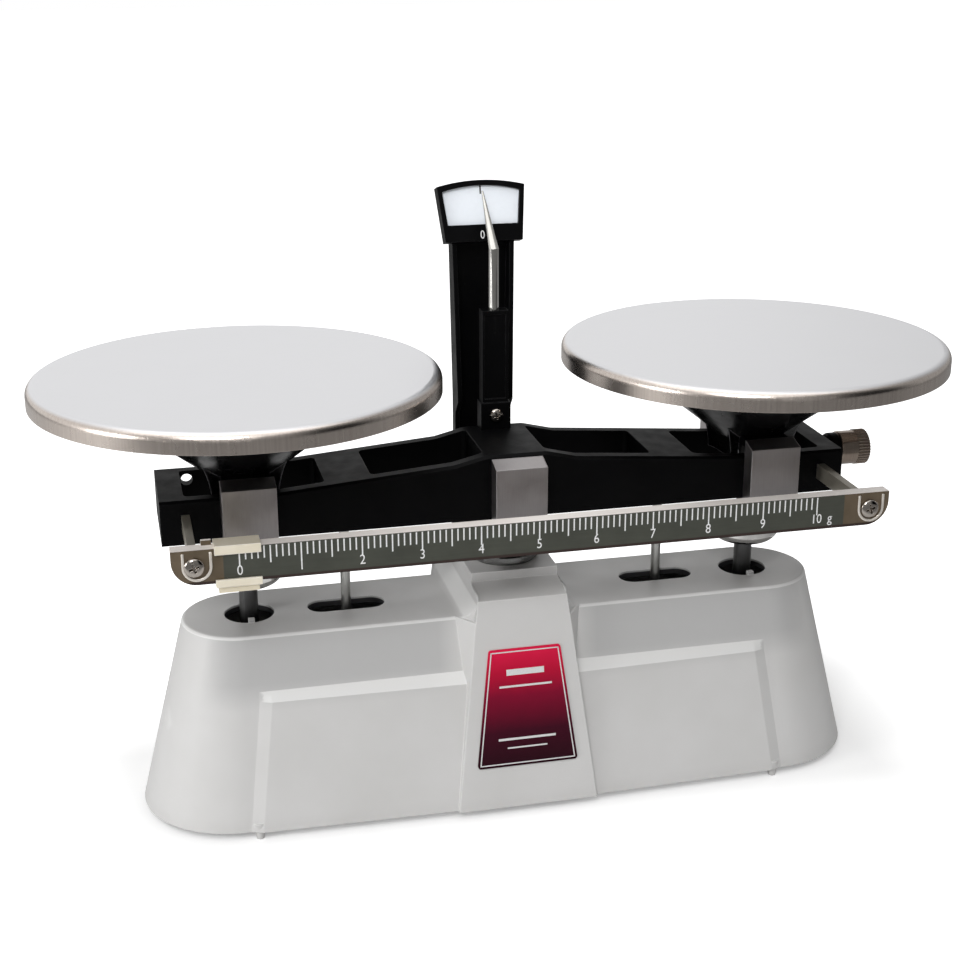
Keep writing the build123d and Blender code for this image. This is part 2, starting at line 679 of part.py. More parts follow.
def yoke():
    """The saddle of a hanger, at the centre: a bar over the beam and an ear down each side."""
    high, cap = DECK + SHOULDER_RISE, DECK + CAP_RISE
    ear, bar = DECK + YOKE_EAR_RISE, DECK + YOKE_BAR_RISE
    right = [(UPRIGHT_INNER, bar), (UPRIGHT_INNER, ear), (UPRIGHT_OUTER, ear), (UPRIGHT_OUTER, high),
             (COVER_BACK, cap)]
    left = [(-y, z) for y, z in reversed(right)]
    saddle = along(right + left, -UPRIGHT_HALF, UPRIGHT_HALF)
    saddle -= block(-BEARING_HALF, BEARING_HALF, -UPRIGHT_OUTER - 1, UPRIGHT_OUTER + 1, ear - 1,
                    PIVOT + KNIFE_GAP + BEARING_HEIGHT)
    saddle -= rod(SPIGOT_RADIUS, bar - 1, cap + 1)
    return saddle


def scooped_square(half, z):
    """A square with four hollow sides."""
    scoop = half - NECK_SCOOP
    sides = [ThreePointArc((-half, -half), (0, -scoop), (half, -half)),
             ThreePointArc((half, -half), (scoop, 0), (half, half)),
             ThreePointArc((half, half), (0, scoop), (-half, half)),
             ThreePointArc((-half, half), (-scoop, 0), (-half, -half))]
    return Plane.XY.offset(z) * make_face(Curve() + sides)


def spider():
    """The pan support, at the centre: a scooped neck astride the saddle that flares into a funnel."""
    bottom, waist, flare = DECK + NECK_BOTTOM_RISE, DECK + NECK_WAIST_RISE, DECK + NECK_FLARE_RISE
    low, cap = DECK + FUNNEL_BOTTOM_RISE, DECK + CAP_RISE
    middle = (NECK_WAIST_HALF * 2 + NECK_FLARE_HALF) / 3
    belly = (FUNNEL_BELLY_RADIUS, DECK + FUNNEL_BELLY_RISE)
    neck = loft([scooped_square(NECK_WAIST_HALF - 0.2, bottom), scooped_square(NECK_WAIST_HALF, waist),
                 scooped_square(middle, (waist * 2 + flare) / 3 + 2), scooped_square(NECK_FLARE_HALF, flare)])
    rim = FUNNEL_TOP
    inner_rim = FUNNEL_RIM_RADIUS - FUNNEL_WALL
    start, end = (FUNNEL_BOTTOM_RADIUS, low), (FUNNEL_RIM_RADIUS - 3, rim - 9)
    thick = FUNNEL_WALL * 1.25
    edges = [Line((0, low), start), ThreePointArc(start, belly, end), Line(end, (FUNNEL_RIM_RADIUS, rim)),
             Line((FUNNEL_RIM_RADIUS, rim), (inner_rim, rim)),
             Line((inner_rim, rim), (end[0] - FUNNEL_WALL, end[1] + 1)),
             ThreePointArc((end[0] - FUNNEL_WALL, end[1] + 1), (belly[0] - 1.2, belly[1] + thick),
                           (start[0] - 1, low + thick + 0.6)),
             Line((start[0] - 1, low + thick + 0.6), (HUB_RADIUS, low + thick)),
             Line((HUB_RADIUS, low + thick), (HUB_RADIUS, DECK + HUB_RISE)),
             Line((HUB_RADIUS, DECK + HUB_RISE), (0, DECK + HUB_RISE)),
             Line((0, DECK + HUB_RISE), (0, low))]
    funnel = turned(edges)
    inside = turned([Polyline((HUB_RADIUS, low + thick + 0.7), (FUNNEL_BOTTOM_RADIUS, low + thick + 0.7),
                              (FUNNEL_RIM_RADIUS, rim), (HUB_RADIUS, rim), close=True)])
    neck -= inside
    body = funnel + neck
    body -= block(-UPRIGHT_HALF, UPRIGHT_HALF, -UPRIGHT_OUTER, UPRIGHT_OUTER, bottom - 1, cap)
    body -= rod(SPIGOT_RADIUS, cap - 1, DECK + HUB_RISE + 1)
    return body


def stem():
    """The stem, at the centre: spigot through the saddle and hub, shank down to the check link."""
    shoulder, top = DECK + YOKE_BAR_RISE, DECK + HUB_RISE + NUT_HEIGHT + 1
    shank = rod(STEM_RADIUS, LINK_Z - STEM_TAIL, shoulder) + rod(SPIGOT_RADIUS, shoulder, top)
    return shank - rod_y(LINK_PIN_RADIUS + PIN_CLEARANCE, -STEM_RADIUS - 1, STEM_RADIUS + 1, 0, LINK_Z)


def cup():
    """The turned cup on a stem, at the centre."""
    low, high = DECK + CUP_BOTTOM_RISE, DECK + CUP_TOP_RISE
    side = low + CUP_BOWL
    bow = ((CUP_RADIUS + CUP_FOOT_RADIUS) / 2 + 1.0, low + 0.32 * CUP_BOWL)
    rim = CUP_RADIUS - CUP_CHAMFER
    return turned([Line((STEM_RADIUS, low), (CUP_FOOT_RADIUS, low)),
                   ThreePointArc((CUP_FOOT_RADIUS, low), bow, (CUP_RADIUS, side)),
                   Polyline((CUP_RADIUS, side), (CUP_RADIUS, high - CUP_CHAMFER), (rim, high),
                            (STEM_RADIUS, high), (STEM_RADIUS, low))])


def pan():
    """A round pan with a rolled skirt and the ring that finds the support, at the centre."""
    top, r = DECK + PAN_RISE, PAN_RADIUS
    edge = PAN_EDGE_RADIUS
    inner = edge - PAN_SHEET
    bottom = top - PAN_SKIRT
    under = top - PAN_SHEET
    skin = [Line((0, top), (r - edge, top)),
            RadiusArc((r - edge, top), (r, top - edge), edge),
            Line((r, top - edge), (r, bottom)),
            Line((r, bottom), (r - PAN_SHEET, bottom)),
            Line((r - PAN_SHEET, bottom), (r - PAN_SHEET, top - edge)),
            RadiusArc((r - PAN_SHEET, top - edge), (r - edge, under), -inner),
            Line((r - edge, under), (0, under)), Line((0, under), (0, top))]
    ring_in = PAN_RING_RADIUS - PAN_RING_SHEET
    ring = turned([Polyline((ring_in, under), (PAN_RING_RADIUS, under), (PAN_RING_RADIUS, under - PAN_RING_HEIGHT),
                            (ring_in, under - PAN_RING_HEIGHT), close=True)])
    return turned(skin) + ring


def hanger(side, name):
    """Everything that swings with one pan, moved out along the arm."""
    place = Pos(side * ARM, 0, 0)
    seat = DECK + HUB_RISE
    nut = extrude(Plane.XY.offset(seat) * RegularPolygon(NUT_RADIUS, 6), amount=NUT_HEIGHT)
    stone = bearing(-1, -UPRIGHT_OUTER, -UPRIGHT_INNER)
    add(f"{name}_yoke", place * yoke())
    add(f"{name}_bearings", place * stone, place * flip(stone))
    add(f"{name}_cover_front", place * cover())
    add(f"{name}_cover_rear", place * flip(cover()))
    add(f"{name}_spider", place * spider())
    add(f"{name}_stem", place * stem())
    add(f"{name}_stem_nut", place * (nut - rod(SPIGOT_RADIUS, seat - 1, seat + NUT_HEIGHT + 1)))
    add(f"{name}_cup", place * cup())
    add(f"{name}_pan", place * pan())


def check_link():
    """Two strips under the deck that keep the stems upright, their end pins, the bracket and its pin."""
    outer = LINK_INNER + LINK_SHEET
    length = 2 * (ARM + LINK_END)
    strip = Pos(0, -LINK_INNER, LINK_Z) * extrude(Plane.XZ * SlotOverall(length, LINK_HEIGHT), amount=LINK_SHEET)
    for side in (-1, 1):
        strip -= rod_y(LINK_PIN_RADIUS, -outer - 1, 0, side * ARM, LINK_Z)
    strip -= rod_y(PIVOT_PIN_RADIUS + PIN_CLEARANCE, -outer - 1, 0, 0, LINK_Z)
    add("check_link", strip, flip(strip))
    pins = []
    for side in (-1, 1):
        pin = rod_y(LINK_PIN_RADIUS, -outer, outer, side * ARM, LINK_Z)
        pin += rod_y(LINK_PIN_HEAD_RADIUS, -outer - LINK_PIN_HEAD, -outer, side * ARM, LINK_Z)
        pin += rod_y(LINK_PIN_HEAD_RADIUS, outer, outer + LINK_PIN_HEAD, side * ARM, LINK_Z)
        pins.append(pin)
    add("check_link_pins", *pins)
    top = DECK - WALL
    under = top - BRACKET_SHEET
    reach = BRACKET_INNER + BRACKET_SHEET
    bracket = block(-BRACKET_PLATE_HALF_X, BRACKET_PLATE_HALF_X, -BRACKET_PLATE_HALF_Y, BRACKET_PLATE_HALF_Y,
                    under, top)
    leg = across([(-BRACKET_PLATE_HALF_X, under), (BRACKET_PLATE_HALF_X, under),
                  (BRACKET_HALF, LINK_Z - BRACKET_TAIL), (-BRACKET_HALF, LINK_Z - BRACKET_TAIL)],
                 -reach, -BRACKET_INNER)
    bracket += leg + flip(leg)
    bracket -= rod(STAND_BOLT_RADIUS, under - 1, top + 1)
    bracket -= rod_y(PIVOT_PIN_RADIUS, -reach - 1, reach + 1, 0, LINK_Z)
    add("lower_bracket", bracket)
    add("lower_pivot_pin", rod_y(PIVOT_PIN_RADIUS, -reach, reach, 0, LINK_Z))


def stop_rods():
    """The thin rods through the deck's slots, and the rubber stops on their lower ends."""
    stop_top = DECK - WALL - STOP_GAP
    stops = []
    for side, name in ((-1, "left"), (1, "right")):
        x = side * ROD_X
        add(f"{name}_stop_rod", rod(ROD_RADIUS, DECK - ROD_TAIL, DECK + ROD_SEAT_RISE, x))
        ring = rod(STOP_RADIUS, stop_top - STOP_HEIGHT, stop_top, x)
        stops.append(ring - rod(ROD_RADIUS, stop_top - STOP_HEIGHT - 1, stop_top + 1, x))
    add("rod_stops", *stops)


def brace_bar(side):
    """One flat brace from the front rail out to the graduated bar."""
    rail = -BEAM_WIDTH / 2
    x0, x1 = sorted((side * BRACE_X, side * (BRACE_X + BRACE_SHEET)))
    return block(x0, x1, -BAR_WEB_BACK, rail + BRACE_SEAT, BAR_TOP - BRACE_HEIGHT, BAR_TOP)


def graduated_bar():
    """The folded bar in front of the beam, its braces and their screws."""
    low, flange_low = BAR_TOP - BAR_HEIGHT, BAR_TOP - BAR_SHEET
    face = make_face(Polyline((BAR_LEFT, low), (BAR_RIGHT, low), (BAR_RIGHT, BAR_TOP), (BAR_LEFT, BAR_TOP),
                              close=True))
    face = fillet([v for v in face.vertices() if v.Y < BAR_TOP - 1], BAR_CORNER)
    web = Pos(0, -BAR_WEB_BACK, 0) * extrude(Plane.XZ * face, amount=BAR_SHEET)
    flange_back = BAR_FLANGE - BAR_FRONT
    bar = web + block(BAR_LEFT, BAR_RIGHT, -BAR_WEB_BACK, flange_back, flange_low, BAR_TOP)
    stop = ZERO_X - POISE_HALF - ZERO_STOP_GAP
    bar += block(stop - ZERO_STOP_LENGTH, stop, flange_back - BAR_SHEET, flange_back, flange_low,
                 BAR_TOP + ZERO_STOP_HEIGHT)
    screws = []
    screw_z = BAR_TOP - BAR_SCREW_DROP
    for side, name, x in ((-1, "left", BAR_LEFT + BAR_SCREW_INSET), (1, "right", BAR_RIGHT - BAR_SCREW_INSET)):
        brace = brace_bar(side) - block(BAR_LEFT, BAR_RIGHT, -BAR_WEB_BACK, flange_back, flange_low, BAR_TOP + 1)
        brace += block(x - BRACE_TAB_HALF, x + BRACE_TAB_HALF, -BAR_WEB_BACK, BRACE_TAB - BAR_WEB_BACK,
                       screw_z - BAR_SCREW_HEAD_RADIUS, flange_low)
        hole = rod_y(BAR_SCREW_RADIUS, -BAR_FRONT - 1, 1 + BRACE_TAB - BAR_WEB_BACK, x, screw_z)
        bar -= hole
        add(f"{name}_bar_brace", brace - hole)
        screw = rod_y(BAR_SCREW_RADIUS, -BAR_FRONT, BAR_SCREW_LENGTH - BAR_FRONT, x, screw_z)
        head = rod_y(BAR_SCREW_HEAD_RADIUS, -BAR_FRONT - BAR_SCREW_HEAD_HEIGHT, -BAR_FRONT, x, screw_z)
        screws.append(screw + fillet(head.edges().group_by(Axis.Y)[0], BAR_SCREW_HEAD_HEIGHT * 0.6))
    add("graduated_bar", bar)
    add("bar_screws", *screws)


def poise():
    """The sliding clip at zero, wrapped round the bar from behind, with a pad under it."""
    x0, x1 = ZERO_X - POISE_HALF, ZERO_X + POISE_HALF
    low = BAR_TOP - BAR_HEIGHT
    front_in = BAR_FRONT + POISE_GAP
    front_out = front_in + POISE_SHEET
    back_in = BAR_FRONT - BAR_FLANGE - POISE_GAP
    back_out = back_in - POISE_SHEET
    top_in, bottom_in = BAR_TOP + POISE_GAP, low - POISE_GAP
    top_out, bottom_out = top_in + POISE_SHEET, bottom_in - POISE_SHEET
    top_lip, bottom_lip = top_out - POISE_TOP_LIP, bottom_out + POISE_BOTTOM_LIP
    clip = along([(-front_out, top_out), (-back_out, top_out), (-back_out, bottom_out), (-front_out, bottom_out),
                  (-front_out, bottom_lip), (-front_in, bottom_lip), (-front_in, bottom_in),
                  (-back_in, bottom_in), (-back_in, top_in), (-front_in, top_in), (-front_in, top_lip),
                  (-front_out, top_lip)], x0, x1)
    add("poise", clip)
    add("poise_pad", block(x0 + 1, x1 - 1, -front_out + 1, -back_out, bottom_out - POISE_PAD_HEIGHT, bottom_out))


def knurled(radius, x0, x1):
    """A short cylinder along the beam with a ring of straight grooves."""
    body = rod_x(radius, x0, x1, 0, STUD_Z)
    step = 360 / KNURL_COUNT
    for index in range(KNURL_COUNT):
        angle = radians(index * step)
        y, z = (radius + KNURL_DEPTH) * cos(angle), STUD_Z + (radius + KNURL_DEPTH) * sin(angle)
        body -= rod_x(2 * KNURL_DEPTH, x0 - 1, x1 + 1, y, z)
    return body


def zero_adjuster():
    """The stud in the beam's right end, with the collar and the knurled knob on it."""
    collar = BEAM_END + COLLAR_GAP
    knob = collar + COLLAR_LENGTH + KNOB_COLLAR_GAP
    ring = knob + KNOB_LENGTH
    bore = rod_x(STUD_RADIUS + PIN_CLEARANCE, collar - 1, ring + RING_LENGTH - 2, 0, STUD_Z)
    add("zero_stud", rod_x(STUD_RADIUS, BEAM_END - STUD_SEAT, BEAM_END + STUD_LENGTH - STUD_SEAT, 0, STUD_Z))
    disc = rod_x(COLLAR_RADIUS, collar, collar + COLLAR_LENGTH, 0, STUD_Z)
    add("zero_collar", fillet(disc.edges().group_by(Axis.X)[0], COLLAR_EDGE_RADIUS) - bore)
    body = rod_x(KNOB_RADIUS, knob, ring, 0, STUD_Z)
    body = fillet(body.edges().group_by(Axis.X)[0], 0.8) - bore
    add("zero_knob", body)
    cap = knurled(RING_RADIUS, ring, ring + RING_LENGTH) - bore
    add("zero_knob_ring", cap)


def head_plane():
    """The dial's front plane, leaning back from its lower edge."""
    tilt = radians(HEAD_TILT)
    return Plane(origin=(0, HEAD_Y, DECK + HEAD_RISE), x_dir=(1, 0, 0), z_dir=(0, -cos(tilt), sin(tilt)))


def tip_point():
    """Where the pointer's tip stands, in front of the dial: (y, z)."""
    tilt = radians(HEAD_TILT)
    up = HEAD_CROWN - FRAME_EDGE - TIP_DROP
    y = HEAD_Y + up * sin(tilt) - TIP_STANDOFF * cos(tilt)
    return y, DECK + HEAD_RISE + up * cos(tilt) + TIP_STANDOFF * sin(tilt)


def pointer():
    """The holder screwed to the beam's crown, and the bright rod bent back and drawn to a point at the dial."""
    base = DECK + BEAM_CROWN_RISE
    top, shelf = DECK + HOLDER_TOP_RISE, DECK + BLOCK_RISE
    back = POINTER_Y + HOLDER_DEPTH / 2
    front = POINTER_Y - HOLDER_DEPTH / 2
    foot_front = back - BLOCK_DEPTH
    holder = block(-HOLDER_HALF, HOLDER_HALF, front, back, shelf - 1, top)
    holder -= block(1 - HOLDER_HALF, HOLDER_HALF - 1, front - 1, front + HOLDER_RECESS, shelf + 1.4, top - 1.6)
    holder += block(-BLOCK_HALF, BLOCK_HALF, foot_front, back, base, shelf)
    seat = Plane.XY.offset(top - BLADE_SEAT)
    bend = Plane.XY.offset(DECK + BLADE_BEND_RISE)
    place = Pos(0, POINTER_Y, 0)
    lower = place * extrude(seat * Circle(BLADE_RADIUS), amount=BLADE_BEND_RISE - HOLDER_TOP_RISE + BLADE_SEAT)
    tip_y, tip_z = tip_point()
    lean = Plane(origin=(0, tip_y - POINTER_Y, tip_z), x_dir=(1, 0, 0), z_dir=(0, 0, 1))
    upper = place * loft([bend * Circle(BLADE_RADIUS), lean * Circle(BLADE_TIP_RADIUS)], ruled=True)
    screw_z = DECK + POINTER_SCREW_RISE
    inside = foot_front + POINTER_SCREW_LENGTH
    hole = rod_y(POINTER_SCREW_RADIUS, foot_front, inside, 0, screw_z)
    head = rod_y(POINTER_SCREW_HEAD_RADIUS, foot_front - POINTER_SCREW_HEAD_HEIGHT, foot_front, 0, screw_z)
    add("pointer", lower + upper)
    add("pointer_holder", holder - lower - hole)
    add("pointer_screw", hole + fillet(head.edges().group_by(Axis.Y)[0], POINTER_SCREW_HEAD_HEIGHT * 0.6))


def tower_screw_y():
    """Middle of the tab behind the tower."""
    return TOWER_BACK + TOWER_FOOT_REACH / 2


def tower():
    """The channel behind the beam that carries the dial, open to the front."""
    base, top = DECK + LEDGE_RISE, DECK + HEAD_RISE + 2
    low = DECK + TOWER_FLANGE_RISE
    web = TOWER_BACK - TOWER_SHEET
    rear = TOWER_BACK - TOWER_REAR_DEPTH
    side = [(TOWER_BACK, base), (TOWER_BACK, top), (TOWER_FRONT_TOP, top), (TOWER_FRONT_BOTTOM, low),
            (rear, low - TOWER_NOTCH), (rear, base)]
    wide = 2 * TOWER_TOP_HALF

    def front(inset, z0, z1):
        return across([(inset - TOWER_LOW_HALF, z0), (TOWER_LOW_HALF - inset, z0),
                       (TOWER_LOW_HALF - inset, low), (TOWER_TOP_HALF - inset, top),
                       (TOWER_TOP_HALF - inset, z1), (inset - TOWER_TOP_HALF, z1), (inset - TOWER_TOP_HALF, top),
                       (inset - TOWER_LOW_HALF, low)], 0, TOWER_BACK + 1)

    channel = along(side, -wide, wide) & front(0, base, top + 1)
    channel -= front(TOWER_SHEET, base - 1, top + 2) & block(-wide, wide, 0, web, base - 1, top + 2)
    foot = block(-TOWER_FOOT_HALF, TOWER_FOOT_HALF, TOWER_BACK - 1, TOWER_BACK + TOWER_FOOT_REACH, base,
                 base + TOWER_FOOT_THICKNESS)
    channel += foot
    screws = []
    for x in (-TOWER_SCREW_X, TOWER_SCREW_X):
        seat = base + TOWER_FOOT_THICKNESS
        shank = rod(TOWER_SCREW_RADIUS, seat - TOWER_SCREW_LENGTH, seat, x, tower_screw_y())
        channel -= shank
        screws.append(shank + rod(TOWER_SCREW_HEAD_RADIUS, seat, seat + TOWER_SCREW_HEAD_HEIGHT, x, tower_screw_y()))
    add("tower_screws", *screws)
    return channel


def head_outline(inset, sill):
    """The dial's fan outline on its own plane, drawn in all round by one inset."""
    spread = (HEAD_TOP_HALF - HEAD_BOTTOM_HALF) / HEAD_SIDE
    half_low = HEAD_BOTTOM_HALF + spread * sill - inset
    half_top = HEAD_TOP_HALF - inset
    side, crown = HEAD_SIDE - inset, HEAD_CROWN - inset
    return make_face(Curve() + [Line((-half_low, sill), (half_low, sill)), Line((half_low, sill), (half_top, side)),
                                ThreePointArc((half_top, side), (0, crown), (-half_top, side)),
                                Line((-half_top, side), (-half_low, sill))])


def dial():
    """The fan-shaped frame on top of the tower, and the card behind its window."""
    plane = head_plane()
    frame = extrude(plane * head_outline(0, 0), amount=-HEAD_DEPTH)
    window = plane * head_outline(FRAME_EDGE, WINDOW_SILL)
    frame -= extrude(window, amount=-HEAD_DEPTH - 1)
    behind = plane.offset(-HEAD_LIP)
    seat = behind * head_outline(FRAME_EDGE - CARD_LAP - CARD_CLEARANCE, WINDOW_SILL - CARD_LAP - CARD_CLEARANCE)
    frame -= extrude(seat, amount=-HEAD_DEPTH)
    card = extrude(behind * head_outline(FRAME_EDGE - CARD_LAP, WINDOW_SILL - CARD_LAP), amount=-CARD_THICKNESS)
    return frame, card


def build():
    """Make every node in turn."""
    add("base_housing", housing())
    bottom_plate()
    add("label_plate", label_plate())
    centre_stand()
    frame, card = dial()
    channel = tower()
    front = extrude(head_plane() * head_outline(-1, -4), amount=HEAD_DEPTH)
    seat = extrude(head_plane() * head_outline(-0.01, 0), amount=-HEAD_DEPTH)
    add("dial_tower", channel - frame - front - seat)
    add("dial_frame", frame)
    add("dial_card", card)
    add("beam", beam())
    knives()
    stop_rods()
    graduated_bar()
    pointer()
    poise()
    zero_adjuster()
    check_link()
    hanger(-1, "left")
    hanger(1, "right")


build()
os.makedirs("parts", exist_ok=True)
for node, shape in NODES.items():
    export_step(shape, f"parts/{node}.step")
print(len(NODES), "nodes")
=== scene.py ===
import json
from math import pi, radians

import bpy
from mathutils import Matrix, Vector


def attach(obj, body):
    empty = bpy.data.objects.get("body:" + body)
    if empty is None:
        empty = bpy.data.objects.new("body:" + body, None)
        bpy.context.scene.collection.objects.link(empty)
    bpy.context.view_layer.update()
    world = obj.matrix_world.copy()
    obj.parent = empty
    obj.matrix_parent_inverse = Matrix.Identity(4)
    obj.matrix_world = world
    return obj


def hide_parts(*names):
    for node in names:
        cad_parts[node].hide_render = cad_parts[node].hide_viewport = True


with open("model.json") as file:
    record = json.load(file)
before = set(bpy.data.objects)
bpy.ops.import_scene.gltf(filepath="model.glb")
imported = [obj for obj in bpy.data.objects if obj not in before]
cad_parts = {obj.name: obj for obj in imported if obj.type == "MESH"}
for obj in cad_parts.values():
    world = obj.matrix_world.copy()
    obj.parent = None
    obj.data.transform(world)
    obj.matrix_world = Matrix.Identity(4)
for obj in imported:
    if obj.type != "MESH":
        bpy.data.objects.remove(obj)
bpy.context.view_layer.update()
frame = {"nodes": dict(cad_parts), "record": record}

MM = 0.001

# Photo's camera: its lens in pixels, the point that it looks at in metres, and its angles in degrees.
PHOTO_WIDTH = 960
SENSOR = 36.0
LENS_PIXELS = 1633.8
CAMERA_TARGET = (-0.009644, 0, 0.125537)
CAMERA_DISTANCE = 0.64017
CAMERA_TURN = -13.219
CAMERA_DROP = 19.07
CAMERA_ROLL = -0.167

# Bar, in mm: its front face, its printed band and its scale.
BAR_FACE = -56.5
BAR_TOP = 128.2
BAR_BOTTOM = 115.2
BAND_LEFT = -114.6
BAND_RIGHT = 118.4
SCALE_ZERO = -108.8
SCALE_PITCH = 21.6
TICK_TOP = 127.9
TENTH_LENGTH = 4.6
HALF_LENGTH = 6.5
UNIT_LENGTH = 7.0
TICK_WIDTH = 0.5
PRINT_HEIGHT = 0.07
CAP_SHARE = 0.73
DIGIT_HEIGHT = 3.8
BAR_SCREWS = (-124.5, 128.5)
BAR_SCREW_Z = 122.0
RIM_CENTRES = (-123.5, 129.0)
RIM_HALF = 5.3
RIM_RISE = 0.6
RIM_WIDTH = 1.0
RIM_TOP_GAP = 0.9
RIM_FOOT_GAP = 1.4
RIM_STUB = 0.7
RIM_ROUNDING = 0.28
DIGIT_RISE = 0.25
UNIT_LETTER_GAP = 5.4

# Housing and pedestal, in mm: the holes' reach from the middle, where painted shade darkens their walls,
# and the strip under the deck that gets painted shade.
DECK = 78.5
DECK_SKIN = 0.7
HOLES_HALF_WIDTH = 14.5
HOLES_REACH = 118
SHADE_LOW = 50
SHADE_START = 24
PEDESTAL_BOTTOM = 3.5
PEDESTAL_FRONT = 42.0
PEDESTAL_DRAFT = 12.0 / 83.4
LABEL_LOW = 20.5
LABEL_HIGH = 67.5
LABEL_HALF_LOW = 20.2
LABEL_HALF_HIGH = 14.3
LABEL_PLATE = 0.5
LABEL_INSET = 0.9
LABEL_LINE = 0.45
RULE_RISE = 0.07
RULE_SINK = 0.15
# Each rule on the label: its lower edge, its upper edge and half its length.
LABEL_RULES = ((57.0, 59.4, 7.5), (52.2, 53.0, 10.5), (31.0, 31.9, 11.5), (27.6, 28.2, 8.0))

# Studio: how bright the air is to the paint, and the floor's shadow round the housing's foot, in mm.
AIR_LEVEL = 0.28
FOOT_HALF_LENGTH = 147
FOOT_HALF_WIDTH = 38
SHADOW_START = 4
SHADOW_REACH = 75
DIM_FLOOR_START = 180
DIM_FLOOR_REACH = 160
DIM_FLOOR_LEVEL = 0.2
# Each lamp: its place and size in metres, and its power in watts.
LAMP_TARGET = (0, 0, 0.1)
LAMPS = {
    "overhead_box": ((-0.2, -0.3, 1.4), (1.8, 1.3), 8),
    "front_box": ((-0.45, -1.0, 1.0), (0.5, 0.4), 7.5),
    "left_box": ((-1.4, -0.4, 0.4), (0.5, 0.5), 7),
}

# Dial, in mm and degrees.
DIAL_Y = 32.0
DIAL_Z = 213.5
DIAL_LEAN = 17.0
DIAL_CARD_DEPTH = 1.6
DIAL_TICK_RISE = 20.4
NOUGHT_PLACE = (-0.6, 2.4)
NOUGHT_HEIGHT = 3.4
POINTER_SCREW = (0, 13.1, 147.6)


def deselect():
    """Nothing is selected and Blender is in object mode."""
    if bpy.context.object and bpy.context.object.mode != "OBJECT":
        bpy.ops.object.mode_set(mode="OBJECT")
    bpy.ops.object.select_all(action="DESELECT")


def hold(piece):
    """Only this piece is selected and active."""
    deselect()
    piece.select_set(True)
    bpy.context.view_layer.objects.active = piece


def settle(piece):
    """The piece's place goes into its mesh, and its object sits at the origin."""
    hold(piece)
    bpy.ops.object.transform_apply(location=True, rotation=True, scale=True)
    return piece


def block(name, low, high):
    """A block from corner low to corner high, in mm, to be shaped further."""
    deselect()
    size = [(b - a) * MM for a, b in zip(low, high)]
    middle = [(a + b) / 2 * MM for a, b in zip(low, high)]
    bpy.ops.mesh.primitive_cube_add(size=1, location=middle, scale=size)
    piece = bpy.context.object
    piece.name = name
    return settle(piece)


def drum(name, centre, radius, height, sides=48):
    """A drum that stands on its centre along z, in mm, to be shaped further."""
    deselect()
    place = (centre[0] * MM, centre[1] * MM, (centre[2] + height / 2) * MM)
    bpy.ops.mesh.primitive_cylinder_add(vertices=sides, radius=radius * MM, depth=height * MM,
                                        location=place)
    piece = bpy.context.object
    piece.name = name
    return settle(piece)


def choose(piece, test):
    """Edit mode with the faces chosen by a test on their middle (mm) and normal."""
    hold(piece)
    bpy.ops.object.mode_set(mode="EDIT")
    bpy.ops.mesh.select_mode(type="FACE")
    bpy.ops.mesh.select_all(action="DESELECT")
    bpy.ops.object.mode_set(mode="OBJECT")
    for face in piece.data.polygons:
        face.select = test(face.center / MM, face.normal)
    bpy.ops.object.mode_set(mode="EDIT")


def extrude_by(rise):
    """The chosen faces drawn out along z, in mm."""
    bpy.ops.mesh.extrude_region_move(TRANSFORM_OT_translate={"value": (0, 0, rise * MM)})


def step_in(share, rise):
    """The chosen face inset, and its middle moved along z, in mm."""
    bpy.ops.mesh.inset(thickness=share * MM)
    bpy.ops.transform.translate(value=(0, 0, rise * MM))


def done(piece):
    """Back to object mode with this piece."""
    bpy.ops.object.mode_set(mode="OBJECT")
    return piece


def apply(piece, kind, **settings):
    """One modifier, added and applied."""
    hold(piece)
    modifier = piece.modifiers.new(kind.lower(), kind)
    for key, value in settings.items():
        setattr(modifier, key, value)
    bpy.ops.object.modifier_apply(modifier=modifier.name)
    return piece


def soften(piece, width, segments=2, angle=30):
    """Rounds the piece's sharp edges by a width in mm."""
    apply(piece, "BEVEL", width=width * MM, segments=segments, limit_method="ANGLE",
          angle_limit=radians(angle), harden_normals=False)
    hold(piece)
    bpy.ops.object.shade_smooth_by_angle(angle=radians(35))
    return piece


def join(pieces, name):
    """Several meshes as one piece."""
    deselect()
    for piece in pieces:
        piece.select_set(True)
    bpy.context.view_layer.objects.active = pieces[0]
    bpy.ops.object.join()
    pieces[0].name = name
    return pieces[0]


def lettering(name, words, height, matrix, squeeze=0.85):
    """Raised print: its middle at the matrix's origin, its face along the matrix's z. Digits of the font
    are CAP_SHARE of its size high."""
    deselect()
    bpy.ops.object.text_add()
    text = bpy.context.object
    text.name = name
    text.data.body = words
    text.data.align_x = "CENTER"
    text.data.align_y = "CENTER"
    text.data.size = height * MM / CAP_SHARE
    text.data.extrude = PRINT_HEIGHT * MM / 2
    text.data.resolution_u = 4
    bpy.ops.object.convert(target="MESH")
    text.matrix_world = matrix @ Matrix.Diagonal((squeeze, 1, 1, 1))
    return settle(text)


class Link:
    """An output of a finish's nodes. Sums and products on it add Math nodes."""

    def __init__(self, finish, socket):
        self.finish = finish
        self.socket = socket

    def math(self, operation, *values, clamp=False):
        settings = {"operation": operation, "use_clamp": clamp}
        return self.finish.node("ShaderNodeMath", settings, dict(enumerate(values)))

    def __add__(self, other):
        return self.math("ADD", self, other)

    def __sub__(self, other):
        return self.math("SUBTRACT", self, other)

    def __rsub__(self, other):
        return self.math("SUBTRACT", other, self)

    def __mul__(self, other):
        return self.math("MULTIPLY", self, other)

    def __truediv__(self, other):
        return self.math("DIVIDE", self, other)

    __radd__ = __add__
    __rmul__ = __mul__

    def clamp(self):
        return self.math("ADD", self, 0.0, clamp=True)

    def absolute(self):
        return self.math("ABSOLUTE", self)

    def beyond(self, limit):
        """How far this is past a limit, and 0 before it."""
        return self.math("MAXIMUM", self - limit, 0.0)


